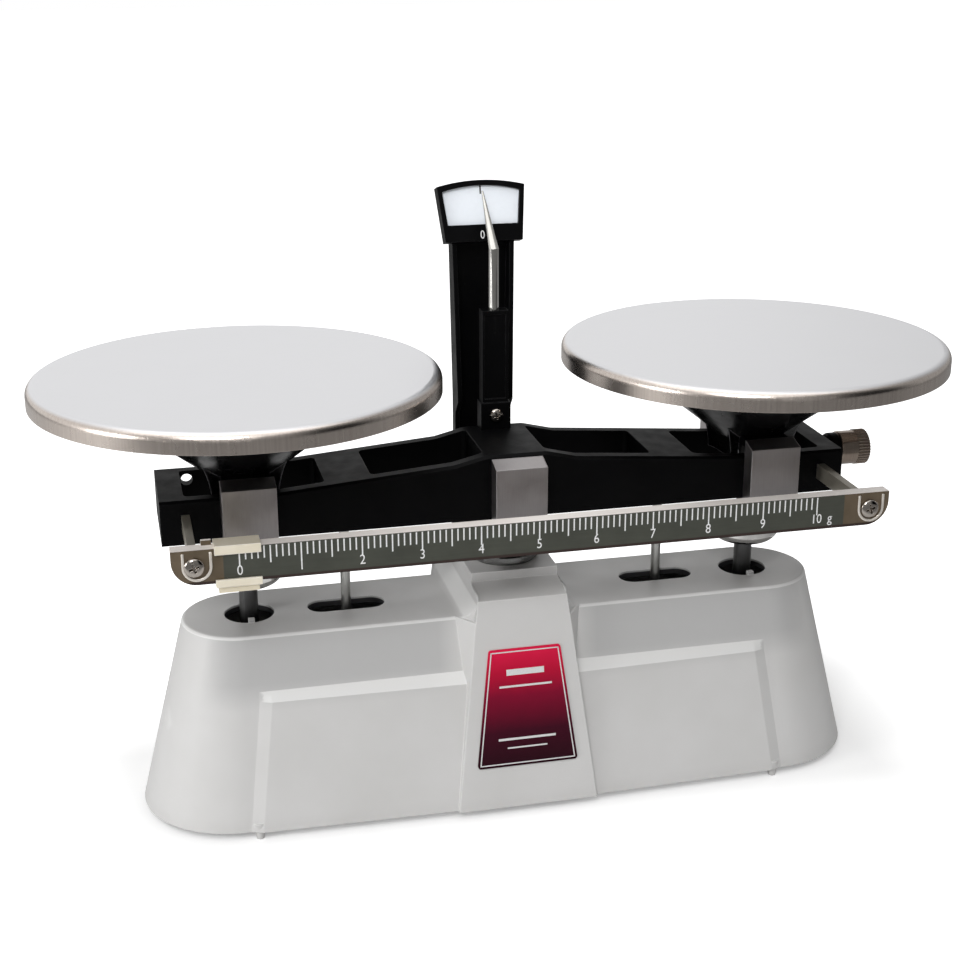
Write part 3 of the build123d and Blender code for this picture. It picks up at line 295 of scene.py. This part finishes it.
class Finish:
    """One material: its shader, and the nodes that vary it over the surface. With a tree given, such as
    the world's, only nodes are made in it."""

    def __init__(self, name, tree=None):
        if tree is None:
            self.material = bpy.data.materials.new(name)
            self.material.use_nodes = True
            tree = self.material.node_tree
            self.shader = tree.nodes["Principled BSDF"]
        self.tree = tree
        self.place = self.node("ShaderNodeTexCoord", out="Object")

    def ray(self, kind):
        """1 for a ray of this kind, such as Is Camera Ray."""
        return self.node("ShaderNodeLightPath", out=kind)

    def node(self, kind, settings=None, values=None, out=0):
        made = self.tree.nodes.new(kind)
        for key, value in (settings or {}).items():
            if key == "stops":
                self.stops(made.color_ramp, value)
            else:
                setattr(made, key, value)
        for key, value in (values or {}).items():
            self.feed(made.inputs[key], value)
        return Link(self, made.outputs[out])

    def stops(self, ramp, stops):
        while len(ramp.elements) < len(stops):
            ramp.elements.new(0.5)
        for element, (position, colour) in zip(ramp.elements, stops):
            element.position = position
            element.color = (*colour, 1)

    def feed(self, socket, value):
        if isinstance(value, Link):
            self.tree.links.new(value.socket, socket)
        elif hasattr(socket.default_value, "__len__") and len(value) < len(socket.default_value):
            socket.default_value = (*value, 1)
        else:
            socket.default_value = value

    def surface(self, values):
        for key, value in values.items():
            self.feed(self.shader.inputs[key], value)
        return self.material

    def axis(self, letter):
        """Object coordinate along x, y or z, in mm."""
        return self.part_of(self.place, letter) * (1 / MM)

    def facing(self, letter):
        """Part of the surface's own normal along x, y or z."""
        return self.part_of(self.node("ShaderNodeTexCoord", out="Normal"), letter)

    def part_of(self, vector, letter):
        return self.node("ShaderNodeSeparateXYZ", values={0: vector}, out="XYZ".index(letter))

    def grain(self, size, detail=3, stretch=(1, 1, 1)):
        """Noise whose spots are about this size in mm, stretched along the axes."""
        scale = tuple(1 / (size * MM * s) for s in stretch)
        spots = self.node("ShaderNodeMapping", values={"Vector": self.place, "Scale": scale})
        noise = {"Vector": spots, "Scale": 1.0, "Detail": detail, "Roughness": 0.55}
        return self.node("ShaderNodeTexNoise", values=noise)

    def band(self, value, low, high, soft):
        """1 between low and high, with soft edges."""
        return ((value - low) / soft).clamp() * ((high - value) / soft).clamp()

    def spread(self, value, low, high):
        """Moves a noise, which lies round 0.5, to run from low to high."""
        return self.node("ShaderNodeMapRange", values={"Value": value, "From Min": 0.3, "From Max": 0.7,
                                                       "To Min": low, "To Max": high})

    def mix(self, amount, first, second):
        return self.node("ShaderNodeMix", {"data_type": "RGBA"}, {0: amount, 6: first, 7: second}, out=2)

    def rounded(self, radius):
        """The normal, rounded over edges by a radius in mm."""
        return self.node("ShaderNodeBevel", {"samples": 4}, {"Radius": radius * MM})

    def edges(self, radius, gain=2.0):
        """1 along outer edges and 0 on flat faces."""
        flat = self.node("ShaderNodeNewGeometry", out="Normal")
        near = self.node("ShaderNodeVectorMath", {"operation": "DOT_PRODUCT"},
                         {0: self.rounded(radius), 1: flat}, out="Value")
        return ((1 - near) * gain).clamp()

    def bump(self, height, depth, over=None):
        """Relief of a depth in mm."""
        values = {"Height": height, "Distance": depth * MM, "Strength": 1.0}
        if over is not None:
            values["Normal"] = over
        return self.node("ShaderNodeBump", values=values)


def light_grey_paint():
    """Satin stoved paint of the housing: faint orange peel, a painted highlight on its upward bevels and
    along its edges, painted shade on the strip under the deck and painted shade inside the holes."""
    f = Finish("light_grey_paint")
    cloud = f.grain(45, 3)
    speck = f.grain(0.9, 2)
    tone = f.mix(f.spread(cloud, 0, 1), (0.565, 0.56, 0.55), (0.61, 0.605, 0.6))
    along = f.axis("X").absolute()
    across = f.axis("Y").absolute()
    height = f.axis("Z")
    frontal = ((f.facing("Y") * -1 - 0.75) / 0.2).clamp()
    # Painted shade: front faces of the strip under the deck, away from the pedestal, are greyer.
    painted_shade_under_deck = ((height - SHADE_LOW) / 10).clamp() * frontal * ((along - SHADE_START) / 8).clamp()
    tone = f.mix(painted_shade_under_deck * 0.7, tone, (0.42, 0.42, 0.42))
    # Painted highlight: faces that look upward, such as the bevels, are paler.
    tone = f.mix(f.band(f.facing("Z"), 0.25, 0.93, 0.08) * 0.7, tone, (0.8, 0.8, 0.79))
    # Painted highlight: a pale line along the edges.
    tone = f.mix(f.edges(1.0, 4.0) * 0.7, tone, (0.86, 0.86, 0.85))
    foot = f.band(height, -5, 9, 9) * f.spread(f.grain(6, 4), 0.1, 0.35)
    tone = f.mix(foot, tone, (0.42, 0.41, 0.39))
    # Painted shade: the walls inside the holes below the deck are near-black.
    inside = ((HOLES_HALF_WIDTH - across) / 0.5).clamp() * ((HOLES_REACH - along) / 0.5).clamp()
    inside = inside * ((DECK - DECK_SKIN - height) / 0.3).clamp()
    tone = f.mix(inside, tone, (0.03, 0.03, 0.032))
    peel = f.grain(1.3, 2) + speck * 0.3
    return f.surface({
        "Base Color": tone,
        "Roughness": f.spread(f.grain(8, 4), 0.38, 0.5),
        "Normal": f.bump(peel, 0.03, f.rounded(0.6)),
    })


def black_paint(name, rough, grain, depth, shine=0.06, tone=0.0014, wear_and_highlight_tone=0.05, edge=0.45, side=0.0):
    """Black paint or moulding with fine grain, greyer along its edges, partly rubbed wear and partly a
    painted highlight, and, where a side tone is given, paler on the faces that look left, a painted light
    from that side."""
    f = Finish(name)
    # Greyer edges: partly rubbed wear, partly a painted highlight.
    wear_and_highlight_mask = f.edges(edge, 2.5) * f.spread(f.grain(4, 3), 0.15, 0.8)
    deep = (tone, tone, tone * 1.2)
    dull = (tone * 1.7, tone * 1.7, tone * 1.9)
    colour = f.mix(f.spread(f.grain(12, 4), 0, 1), deep, dull)
    colour = f.mix(wear_and_highlight_mask, colour, (wear_and_highlight_tone, wear_and_highlight_tone, wear_and_highlight_tone * 1.05))
    if side:
        # Painted light: faces that look left are paler, as if lit from the left.
        painted_left_light = ((f.facing("X") * -1 - 0.5) * 4).clamp() * f.spread(f.grain(9, 3), 0.6, 1)
        colour = f.mix(painted_left_light, colour, (side, side, side))
    return f.surface({
        "Base Color": colour,
        "Roughness": f.spread(f.grain(7, 4), rough - 0.05, rough + 0.07),
        "Specular IOR Level": shine,
        "Normal": f.bump(f.grain(grain, 3), depth, f.rounded(0.5)),
    })


def drawn_metal(name, low, high, rough, stretch, edge=0.3, metal=1.0):
    """Metal with fine lines along the long side of its grain, and paler edges as a painted highlight."""
    f = Finish(name)
    lines = f.grain(0.35, 4, stretch)
    cloud = f.grain(9, 4)
    colour = f.mix(f.spread(lines * 0.5 + cloud * 0.5, 0, 1), low, high)
    # Painted highlight: the edges are paler.
    colour = f.mix(f.edges(edge, 3.0) * 0.8, colour, tuple(min(1, c * 1.5) for c in high))
    return f.surface({
        "Base Color": colour,
        "Metallic": metal,
        "Roughness": f.spread(lines * 0.6 + cloud * 0.4, rough - 0.07, rough + 0.09),
        "Normal": f.bump(lines, 0.004, f.rounded(edge)),
    })


def bar_print():
    """The bar: flange near-white, partly its plating and partly a painted highlight, grey-green printed
    band, brownish plated ends and darker rolled foot.
    """
    f = Finish("bar_print")
    x = f.axis("X")
    z = f.axis("Z")
    front = (f.facing("Y") * -1.5 - 0.4).clamp()
    lines = f.grain(0.4, 4, (30, 1, 1))
    cloud = f.grain(14, 4)
    # Partly plating, partly painted highlight: faces off the front are near-white and barely metallic.
    plated_flange_and_highlight = f.mix(f.spread(cloud, 0, 1), (0.93, 0.87, 0.82), (0.97, 0.92, 0.88))
    band = f.mix(f.spread(cloud * 0.6 + lines * 0.4, 0, 1), (0.05, 0.053, 0.042), (0.072, 0.076, 0.06))
    ends = f.mix(f.spread(cloud, 0, 1), (0.1, 0.075, 0.045), (0.16, 0.12, 0.08))
    printed = f.band(x, BAND_LEFT, BAND_RIGHT, 0.4)
    face = f.mix(printed, ends, band)
    face = f.mix(f.band(z, BAR_BOTTOM - 2, BAR_BOTTOM + 1.3, 0.4), face, (0.035, 0.02, 0.016))
    colour = f.mix(front, plated_flange_and_highlight, face)
    return f.surface({
        "Base Color": colour,
        "Metallic": 0.05 + front * 0.2,
        "Roughness": f.spread(lines, 0.28, 0.42) + front * printed * 0.12,
        "Normal": f.bump(lines, 0.003, f.rounded(0.3)),
    })


def label_print():
    """Label: crimson at the top falling to near-black maroon, under a clear gloss."""
    f = Finish("label_print")
    fall = (f.axis("Z") - LABEL_LOW) / (LABEL_HIGH - LABEL_LOW)
    fall = (fall + (f.grain(7, 3) - 0.5) * 0.06).clamp()
    colour = f.node("ShaderNodeValToRGB", {"stops": [
        (0.0, (0.018, 0.002, 0.006)), (0.3, (0.045, 0.003, 0.012)), (0.6, (0.2, 0.004, 0.025)),
        (0.8, (0.45, 0.006, 0.035)), (1.0, (0.66, 0.012, 0.06))]}, {0: fall})
    return f.surface({
        "Base Color": colour,
        "Roughness": f.spread(f.grain(3, 3), 0.32, 0.42),
        "Specular IOR Level": 0.08,
        "Normal": f.bump(f.grain(0.7, 2), 0.002),
    })


def white_ink(name="white_ink", tone=0.82):
    """Screen-printed ink with pinholes."""
    f = Finish(name)
    colour = f.mix(f.spread(f.grain(0.5, 3), 0, 1), (tone * 0.88,) * 3, (tone,) * 3)
    return f.surface({"Base Color": colour, "Roughness": f.spread(f.grain(1.5, 2), 0.45, 0.6)})


def pan_steel():
    """Stainless pan: flat top with faint grain, skirt with fine upright marks in a darker, warmer tone that
    is a painted reflection.
    """
    f = Finish("pan_steel")
    top = (f.facing("Z") * 4 - 2.6).clamp()
    marks = f.grain(0.8, 3, (1, 1, 30))
    grain = f.grain(0.5, 3, (14, 1, 1))
    cloud = f.grain(20, 4)
    # Painted reflection: the skirt is darker and warmer than the top of the same steel.
    side = f.mix(f.spread(marks, 0, 1), (0.5, 0.44, 0.4), (0.6, 0.54, 0.49))
    flat = f.mix(f.spread(cloud * 0.6 + grain * 0.4, 0, 1), (0.69, 0.69, 0.705), (0.71, 0.71, 0.725))
    colour = f.mix(top, side, flat)
    height = grain * top + marks * (1 - top)
    return f.surface({
        "Base Color": colour,
        "Metallic": 1.0,
        "Roughness": f.spread(cloud, 0.33, 0.37) - (1 - top) * 0.08,
        "Normal": f.bump(height, 0.002, f.rounded(0.3)),
    })


def clear_metal(name, colour, rough):
    """Polished metal with smears and pinpoint pits."""
    f = Finish(name)
    smear = f.grain(6, 4)
    dark = tuple(c * 0.86 for c in colour)
    return f.surface({
        "Base Color": f.mix(f.spread(smear, 0, 1), dark, colour),
        "Metallic": 1.0,
        "Roughness": f.spread(smear * 0.6 + f.grain(0.8, 3) * 0.4, rough - 0.04, rough + 0.06),
        "Normal": f.bump(f.grain(1.2, 3), 0.003, f.rounded(0.25)),
    })


def plain_solid(name, low, high, rough, grain=0.8, depth=0.02):
    """Rubber, card or stone: mottled, with a fine tooth."""
    f = Finish(name)
    return f.surface({
        "Base Color": f.mix(f.spread(f.grain(grain * 4, 4), 0, 1), low, high),
        "Roughness": f.spread(f.grain(grain * 3, 3), rough - 0.06, rough + 0.06),
        "Normal": f.bump(f.grain(grain, 3), depth, f.rounded(0.2)),
    })


FINISHES = {
    "housing_paint": light_grey_paint(),
    # Black sheet: its faces that look left are paler, a painted light from the left.
    "black_sheet": black_paint("black_sheet_paint", 0.55, 0.8, 0.02, side=0.06),
    "zinc_screw": clear_metal("zinc_plating", (0.62, 0.62, 0.6), 0.32),
    "label": label_print(),
    "black_casting": black_paint("black_cast_paint", 0.45, 1.1, 0.02),
    # Black gloss: its pale edges are chiefly a painted highlight.
    "black_gloss": black_paint("black_gloss_moulding", 0.22, 3.0, 0.003, shine=0.4, tone=0.0016, wear_and_highlight_tone=0.5,
                               edge=0.9),
    "bearing_stone": plain_solid("brown_stone", (0.2, 0.13, 0.09), (0.42, 0.3, 0.22), 0.25),
    "cover_sheet": drawn_metal("cover_sheet_satin", (0.33, 0.31, 0.31), (0.4, 0.38, 0.38), 0.34, (1, 1, 25),
                               edge=0.5),
    "black_plastic": black_paint("black_satin_moulding", 0.38, 0.7, 0.012),
    "white_card": plain_solid("white_card", (0.84, 0.88, 0.93), (0.86, 0.9, 0.95), 0.6, 0.4, 0.008),
    "zinc_steel": drawn_metal("plated_steel", (0.5, 0.5, 0.48), (0.64, 0.64, 0.62), 0.3, (1, 1, 20)),
    "knife_steel": drawn_metal("ground_steel", (0.5, 0.51, 0.53), (0.6, 0.61, 0.63), 0.22, (1, 20, 1)),
    "black_rubber": plain_solid("black_rubber", (0.012, 0.012, 0.012), (0.03, 0.03, 0.03), 0.75),
    "bar_metal": bar_print(),
    "brace_metal": drawn_metal("brace_sheet", (0.3, 0.28, 0.23), (0.42, 0.39, 0.33), 0.34, (1, 20, 1),
                               metal=0.7),
    "bright_screw": clear_metal("bright_screw_steel", (0.46, 0.42, 0.38), 0.1),
    "bright_blade": clear_metal("polished_blade", (0.52, 0.51, 0.48), 0.09),
    "knob_metal": drawn_metal("nickel_knob", (0.2, 0.155, 0.125), (0.3, 0.25, 0.21), 0.17, (1, 25, 25),
                              edge=0.12),
    "poise_metal": drawn_metal("nickel_poise", (0.9, 0.82, 0.64), (0.95, 0.88, 0.74), 0.4, (25, 1, 1),
                               edge=0.5, metal=0.35),
    "poise_pad": drawn_metal("poise_foot", (0.78, 0.7, 0.52), (0.88, 0.8, 0.64), 0.45, (25, 1, 1),
                             metal=0.35),
    "stem_steel": drawn_metal("stem_oiled_steel", (0.09, 0.09, 0.09), (0.15, 0.15, 0.15), 0.35, (1, 1, 25)),
    "chrome_cup": clear_metal("chrome", (0.78, 0.77, 0.75), 0.1),
    "pan_steel": pan_steel(),
}
WHITE_INK = white_ink()
BLACK_INK = plain_solid("black_ink", (0.008, 0.008, 0.008), (0.015, 0.015, 0.015), 0.5)
RULE_INK = white_ink("pale_label_ink", 0.7)
RIM_PLATE = drawn_metal("rim_plate", (0.7, 0.65, 0.58), (0.85, 0.8, 0.74), 0.3, (1, 1, 8), metal=0.5)


def give(piece, finish):
    piece.data.materials.clear()
    piece.data.materials.append(finish)
    return piece


def fit(piece, body, slot, finish=None, stands_for=()):
    """The finished piece rides on its body in its finish."""
    give(piece, finish or FINISHES[slot])
    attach(piece, body)
    if stands_for:
        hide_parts(*stands_for)
    return piece


def dress_nodes():
    """Every CAD node gets the finish of its slot, and the disc under the stand its turned gunmetal."""
    slot_of = {part["node"]: part["material_slot"] for part in frame["record"]["subparts"]}
    for name, node in frame["nodes"].items():
        give(node, FINISHES[slot_of[name]])
    gunmetal = drawn_metal("turned_gunmetal", (0.2, 0.2, 0.2), (0.32, 0.32, 0.31), 0.28, (20, 20, 1))
    give(frame["nodes"]["centre_disc"], gunmetal)


def on_bar(x, z):
    """A place on the bar's face, looking at the reader, at x and z in mm."""
    place = Matrix.Translation((x * MM, BAR_FACE * MM, z * MM))
    return place @ Matrix.Rotation(pi / 2, 4, "X")


def tick_row(name, first, count, step, top, bottom):
    """A row of printed ticks, one made and the rest repeated from it."""
    half = TICK_WIDTH / 2
    tick = block(name, (first - half, BAR_FACE - PRINT_HEIGHT, bottom), (first + half, BAR_FACE, top))
    apply(tick, "BEVEL", width=0.03 * MM, segments=1)
    return apply(tick, "ARRAY", count=count, use_relative_offset=False, use_constant_offset=True,
                 constant_offset_displace=(step * MM, 0, 0))


def bar_scale():
    """Ticks at each tenth, longer at halves and units, with digits below the units."""
    tenth_foot = TICK_TOP - TENTH_LENGTH
    half_foot = TICK_TOP - HALF_LENGTH
    unit_foot = TICK_TOP - UNIT_LENGTH
    rows = [
        tick_row("ticks", SCALE_ZERO, 101, SCALE_PITCH / 10, TICK_TOP, tenth_foot),
        tick_row("halves", SCALE_ZERO + SCALE_PITCH / 2, 10, SCALE_PITCH, tenth_foot, half_foot),
        tick_row("units", SCALE_ZERO, 11, SCALE_PITCH, tenth_foot, unit_foot),
    ]
    fit(join(rows, "bar_ticks"), "beam", "bar_metal", WHITE_INK)
    middle = TICK_TOP - UNIT_LENGTH + DIGIT_RISE - DIGIT_HEIGHT / 2
    digits = [lettering(f"digit_{n}", str(n), DIGIT_HEIGHT, on_bar(SCALE_ZERO + n * SCALE_PITCH, middle))
              for n in range(11)]
    letter_x = SCALE_ZERO + 10 * SCALE_PITCH + UNIT_LETTER_GAP
    digits.append(lettering("unit_letter", "g", DIGIT_HEIGHT, on_bar(letter_x, middle)))
    fit(join(digits, "bar_digits"), "beam", "bar_metal", WHITE_INK)


def bar_end_rims():
    """The raised U round each bar screw, drawn up to the flange."""
    curve = BAR_BOTTOM + RIM_HALF + RIM_FOOT_GAP
    top = BAR_TOP - RIM_TOP_GAP
    rims = []
    for x in RIM_CENTRES:
        left = x - RIM_HALF
        rim = block("rim", (left, BAR_FACE - RIM_RISE, top - RIM_STUB), (left + RIM_WIDTH, BAR_FACE, top))
        choose(rim, lambda c, n: n.z < -0.9)
        extrude_by(curve - top + RIM_STUB)
        centre = (x * MM, 0, curve * MM)
        bpy.ops.mesh.spin(steps=20, dupli=False, angle=pi, center=centre, axis=(0, 1, 0))
        extrude_by(top - curve)
        bpy.ops.mesh.select_all(action="SELECT")
        bpy.ops.mesh.remove_doubles(threshold=0.00001)
        bpy.ops.mesh.normals_make_consistent(inside=False)
        done(rim)
        rims.append(soften(rim, RIM_ROUNDING, 3))
    fit(join(rims, "bar_end_rims"), "beam", "bar_metal", RIM_PLATE)


def cross_head(name, x, y, z, radius, height, shank, shank_length):
    """A pan-head screw with a cross recess; its head looks along −y from the face at y, in mm."""
    head = drum("head", (0, 0, 0), radius, height * 0.55)
    choose(head, lambda c, n: n.z > 0.9)
    step_in(radius * 0.16, height * 0.27)
    step_in(radius * 0.24, height * 0.14)
    step_in(radius * 0.3, height * 0.04)
    done(head)
    choose(head, lambda c, n: n.z < -0.9)
    bpy.ops.mesh.inset(thickness=(radius - shank) * MM)
    extrude_by(-shank_length)
    done(head)
    apply(head, "BEVEL", width=0.12 * MM, segments=2, limit_method="ANGLE", angle_limit=radians(40))
    arm = radius * 0.62
    width = radius * 0.14
    for half_x, half_y in ((arm, width), (width, arm)):
        cutter = block("cutter", (-half_x, -half_y, height * 0.35), (half_x, half_y, height * 1.3))
        choose(cutter, lambda c, n: n.z < -0.9)
        bpy.ops.transform.resize(value=(0.6, 0.6, 1))
        done(cutter)
        apply(head, "BOOLEAN", operation="DIFFERENCE", object=cutter, solver="EXACT")
        bpy.data.objects.remove(cutter)
    hold(head)
    bpy.ops.object.shade_smooth_by_angle(angle=radians(28))
    head.name = name
    head.matrix_world = (Matrix.Translation((x * MM, y * MM, z * MM)) @ Matrix.Rotation(pi / 2, 4, "X")
                         @ Matrix.Rotation(radians(17), 4, "Z"))
    return settle(head)


def screws():
    """Cross-head screws on the bar and on the pointer's block."""
    pair = [cross_head(f"bar_screw_{n}", x, BAR_FACE, BAR_SCREW_Z, 3.5, 1.8, 1.6, 3.6)
            for n, x in enumerate(BAR_SCREWS)]
    fit(join(pair, "bar_cross_screws"), "beam", "bright_screw", stands_for=["bar_screws"])
    pointer = cross_head("pointer_cross_screw", *POINTER_SCREW, 2.7, 1.6, 1.3, 4.5)
    fit(pointer, "beam", "bright_screw", stands_for=["pointer_screw"])


def label_art():
    """A thin pale outline and three plain rules on the label."""
    def face(z):
        return -(PEDESTAL_FRONT - PEDESTAL_DRAFT * (z - PEDESTAL_BOTTOM)) - LABEL_PLATE

    def half(z):
        share = (z - LABEL_LOW) / (LABEL_HIGH - LABEL_LOW)
        return LABEL_HALF_LOW + (LABEL_HALF_HIGH - LABEL_HALF_LOW) * share

    def rule(low_left, low_right, high_left, high_right, low, high):
        piece = block("rule", (-1, face(low) - 1, low), (1, face(low) + 1, high))
        for vertex in piece.data.vertices:
            x, y, z = vertex.co / MM
            up = z > (low + high) / 2
            at = high if up else low
            left, right = (high_left, high_right) if up else (low_left, low_right)
            out = -RULE_RISE if y < face(low) else RULE_SINK
            vertex.co = Vector((right if x > 0 else left, face(at) + out, at)) * MM
        return soften(piece, 0.03, 1)

    inset = LABEL_INSET
    wide = LABEL_LINE
    a = LABEL_LOW + inset
    b = LABEL_HIGH - inset
    low_left = -half(a) + inset
    high_left = -half(b) + inset
    foot_left = -half(a + wide) + inset
    frame_rules = [
        rule(low_left, -low_left, foot_left, -foot_left, a, a + wide),
        rule(high_left, -high_left, high_left, -high_left, b - wide, b),
        rule(low_left, low_left + wide, high_left, high_left + wide, a, b),
        rule(-low_left - wide, -low_left, -high_left - wide, -high_left, a, b),
    ]
    frame_rules += [rule(-w, w, -w, w, low, high) for low, high, w in LABEL_RULES]
    fit(join(frame_rules, "label_rules"), "base", "label", RULE_INK)


def on_dial(x, rise, lift):
    """A place on the dial's leaning plane, looking at the reader, in mm."""
    lean = Matrix.Rotation(radians(-DIAL_LEAN), 4, "X")
    place = Matrix.Translation((0, DIAL_Y * MM, DIAL_Z * MM)) @ lean
    return place @ Matrix.Translation((x * MM, -lift * MM, rise * MM)) @ Matrix.Rotation(pi / 2, 4, "X")


def dial_marks():
    """The short black zero tick at the top of the card, and the nought on the frame's lip."""
    tick = block("dial_zero_tick", (-0.3, -0.05, -1.7), (0.3, 0.05, 1.7))
    soften(tick, 0.03, 1)
    tick.matrix_world = on_dial(0, DIAL_TICK_RISE, -DIAL_CARD_DEPTH) @ Matrix.Rotation(-pi / 2, 4, "X")
    fit(settle(tick), "base", "white_card", BLACK_INK)
    nought = lettering("dial_nought", "0", NOUGHT_HEIGHT, on_dial(*NOUGHT_PLACE, 0), 0.8)
    fit(nought, "base", "black_sheet", WHITE_INK)


def studio_floor():
    """Pale floor that is white to the camera away from the foot and dim in front to mirror-like metal."""
    deselect()
    bpy.ops.mesh.primitive_plane_add(size=12)
    floor = bpy.context.object
    floor.name = "floor"
    f = Finish("floor_white")
    f.surface({"Base Color": (0.86, 0.86, 0.86), "Roughness": 0.9, "Specular IOR Level": 0.1})
    past_end = f.axis("X").absolute().beyond(FOOT_HALF_LENGTH)
    past_side = f.axis("Y").absolute().beyond(FOOT_HALF_WIDTH)
    square = past_end * past_end + past_side * past_side
    away = square.math("SQRT", square)
    far = ((away - SHADOW_START) / SHADOW_REACH).clamp()
    glow = f.ray("Is Camera Ray") * (far * 0.65 + 0.3)
    white = f.node("ShaderNodeEmission", values={"Strength": glow})
    lit = f.node("ShaderNodeAddShader", values={0: white, 1: Link(f, f.shader.outputs[0])})
    shade = f.node("ShaderNodeEmission", values={"Strength": DIM_FLOOR_LEVEL})
    before = ((-DIM_FLOOR_START - f.axis("Y")) / DIM_FLOOR_REACH).clamp()
    beside = ((f.axis("X") - DIM_FLOOR_START) / DIM_FLOOR_REACH).clamp() * 0.75
    dim = (before + beside).clamp() * f.ray("Is Glossy Ray") * 0.9
    both = f.node("ShaderNodeMixShader", values={0: dim, 1: lit, 2: shade})
    f.tree.links.new(both.socket, f.tree.nodes["Material Output"].inputs["Surface"])
    give(floor, f.material)


def studio_air():
    """White to the camera, softer to paint, and dimmer in front and at the right to mirror-like metal."""
    world = bpy.data.worlds.new("studio_air")
    bpy.context.scene.world = world
    world.use_nodes = True
    back = world.node_tree.nodes["Background"]
    back.inputs["Color"].default_value = (1, 1, 1, 1)
    air = Finish("studio_air", world.node_tree)
    toward = air.node("ShaderNodeTexCoord", out="Generated")
    ahead = ((-0.1 - air.part_of(toward, "Y")) / 0.5).clamp()
    right = ((air.part_of(toward, "X") - 0.35) / 0.4).clamp()
    mirrored = 1 - (ahead * 0.7 + right * 0.55).clamp()
    camera = air.ray("Is Camera Ray") * (1 - AIR_LEVEL)
    glossy = air.ray("Is Glossy Ray") * (mirrored - AIR_LEVEL)
    air.feed(back.inputs["Strength"], camera + glossy + AIR_LEVEL)


def studio_lamps():
    """Three soft boxes, each turned to the balance."""
    for name, (place, size, power) in LAMPS.items():
        data = bpy.data.lights.new(name, "AREA")
        data.shape = "RECTANGLE"
        data.size, data.size_y = size
        data.energy = power
        item = bpy.data.objects.new(name, data)
        bpy.context.collection.objects.link(item)
        item.location = place
        item.rotation_euler = (Vector(LAMP_TARGET) - Vector(place)).to_track_quat("-Z", "Y").to_euler()


def photo_camera():
    """The camera at the photo's angle."""
    data = bpy.data.cameras.new("photo_view")
    data.sensor_width = SENSOR
    data.lens = LENS_PIXELS * SENSOR / PHOTO_WIDTH
    camera = bpy.data.objects.new("photo_view", data)
    bpy.context.collection.objects.link(camera)
    turn = Matrix.Rotation(radians(CAMERA_TURN), 4, "Z")
    turn = turn @ Matrix.Rotation(radians(90 - CAMERA_DROP), 4, "X")
    turn = turn @ Matrix.Rotation(radians(CAMERA_ROLL), 4, "Z")
    camera.matrix_world = (Matrix.Translation(CAMERA_TARGET) @ turn
                           @ Matrix.Translation((0, 0, CAMERA_DISTANCE)))
    bpy.context.scene.camera = camera
    bpy.context.scene.view_settings.view_transform = "Standard"


dress_nodes()
bar_scale()
bar_end_rims()
screws()
label_art()
dial_marks()
studio_floor()
studio_air()
studio_lamps()
photo_camera()
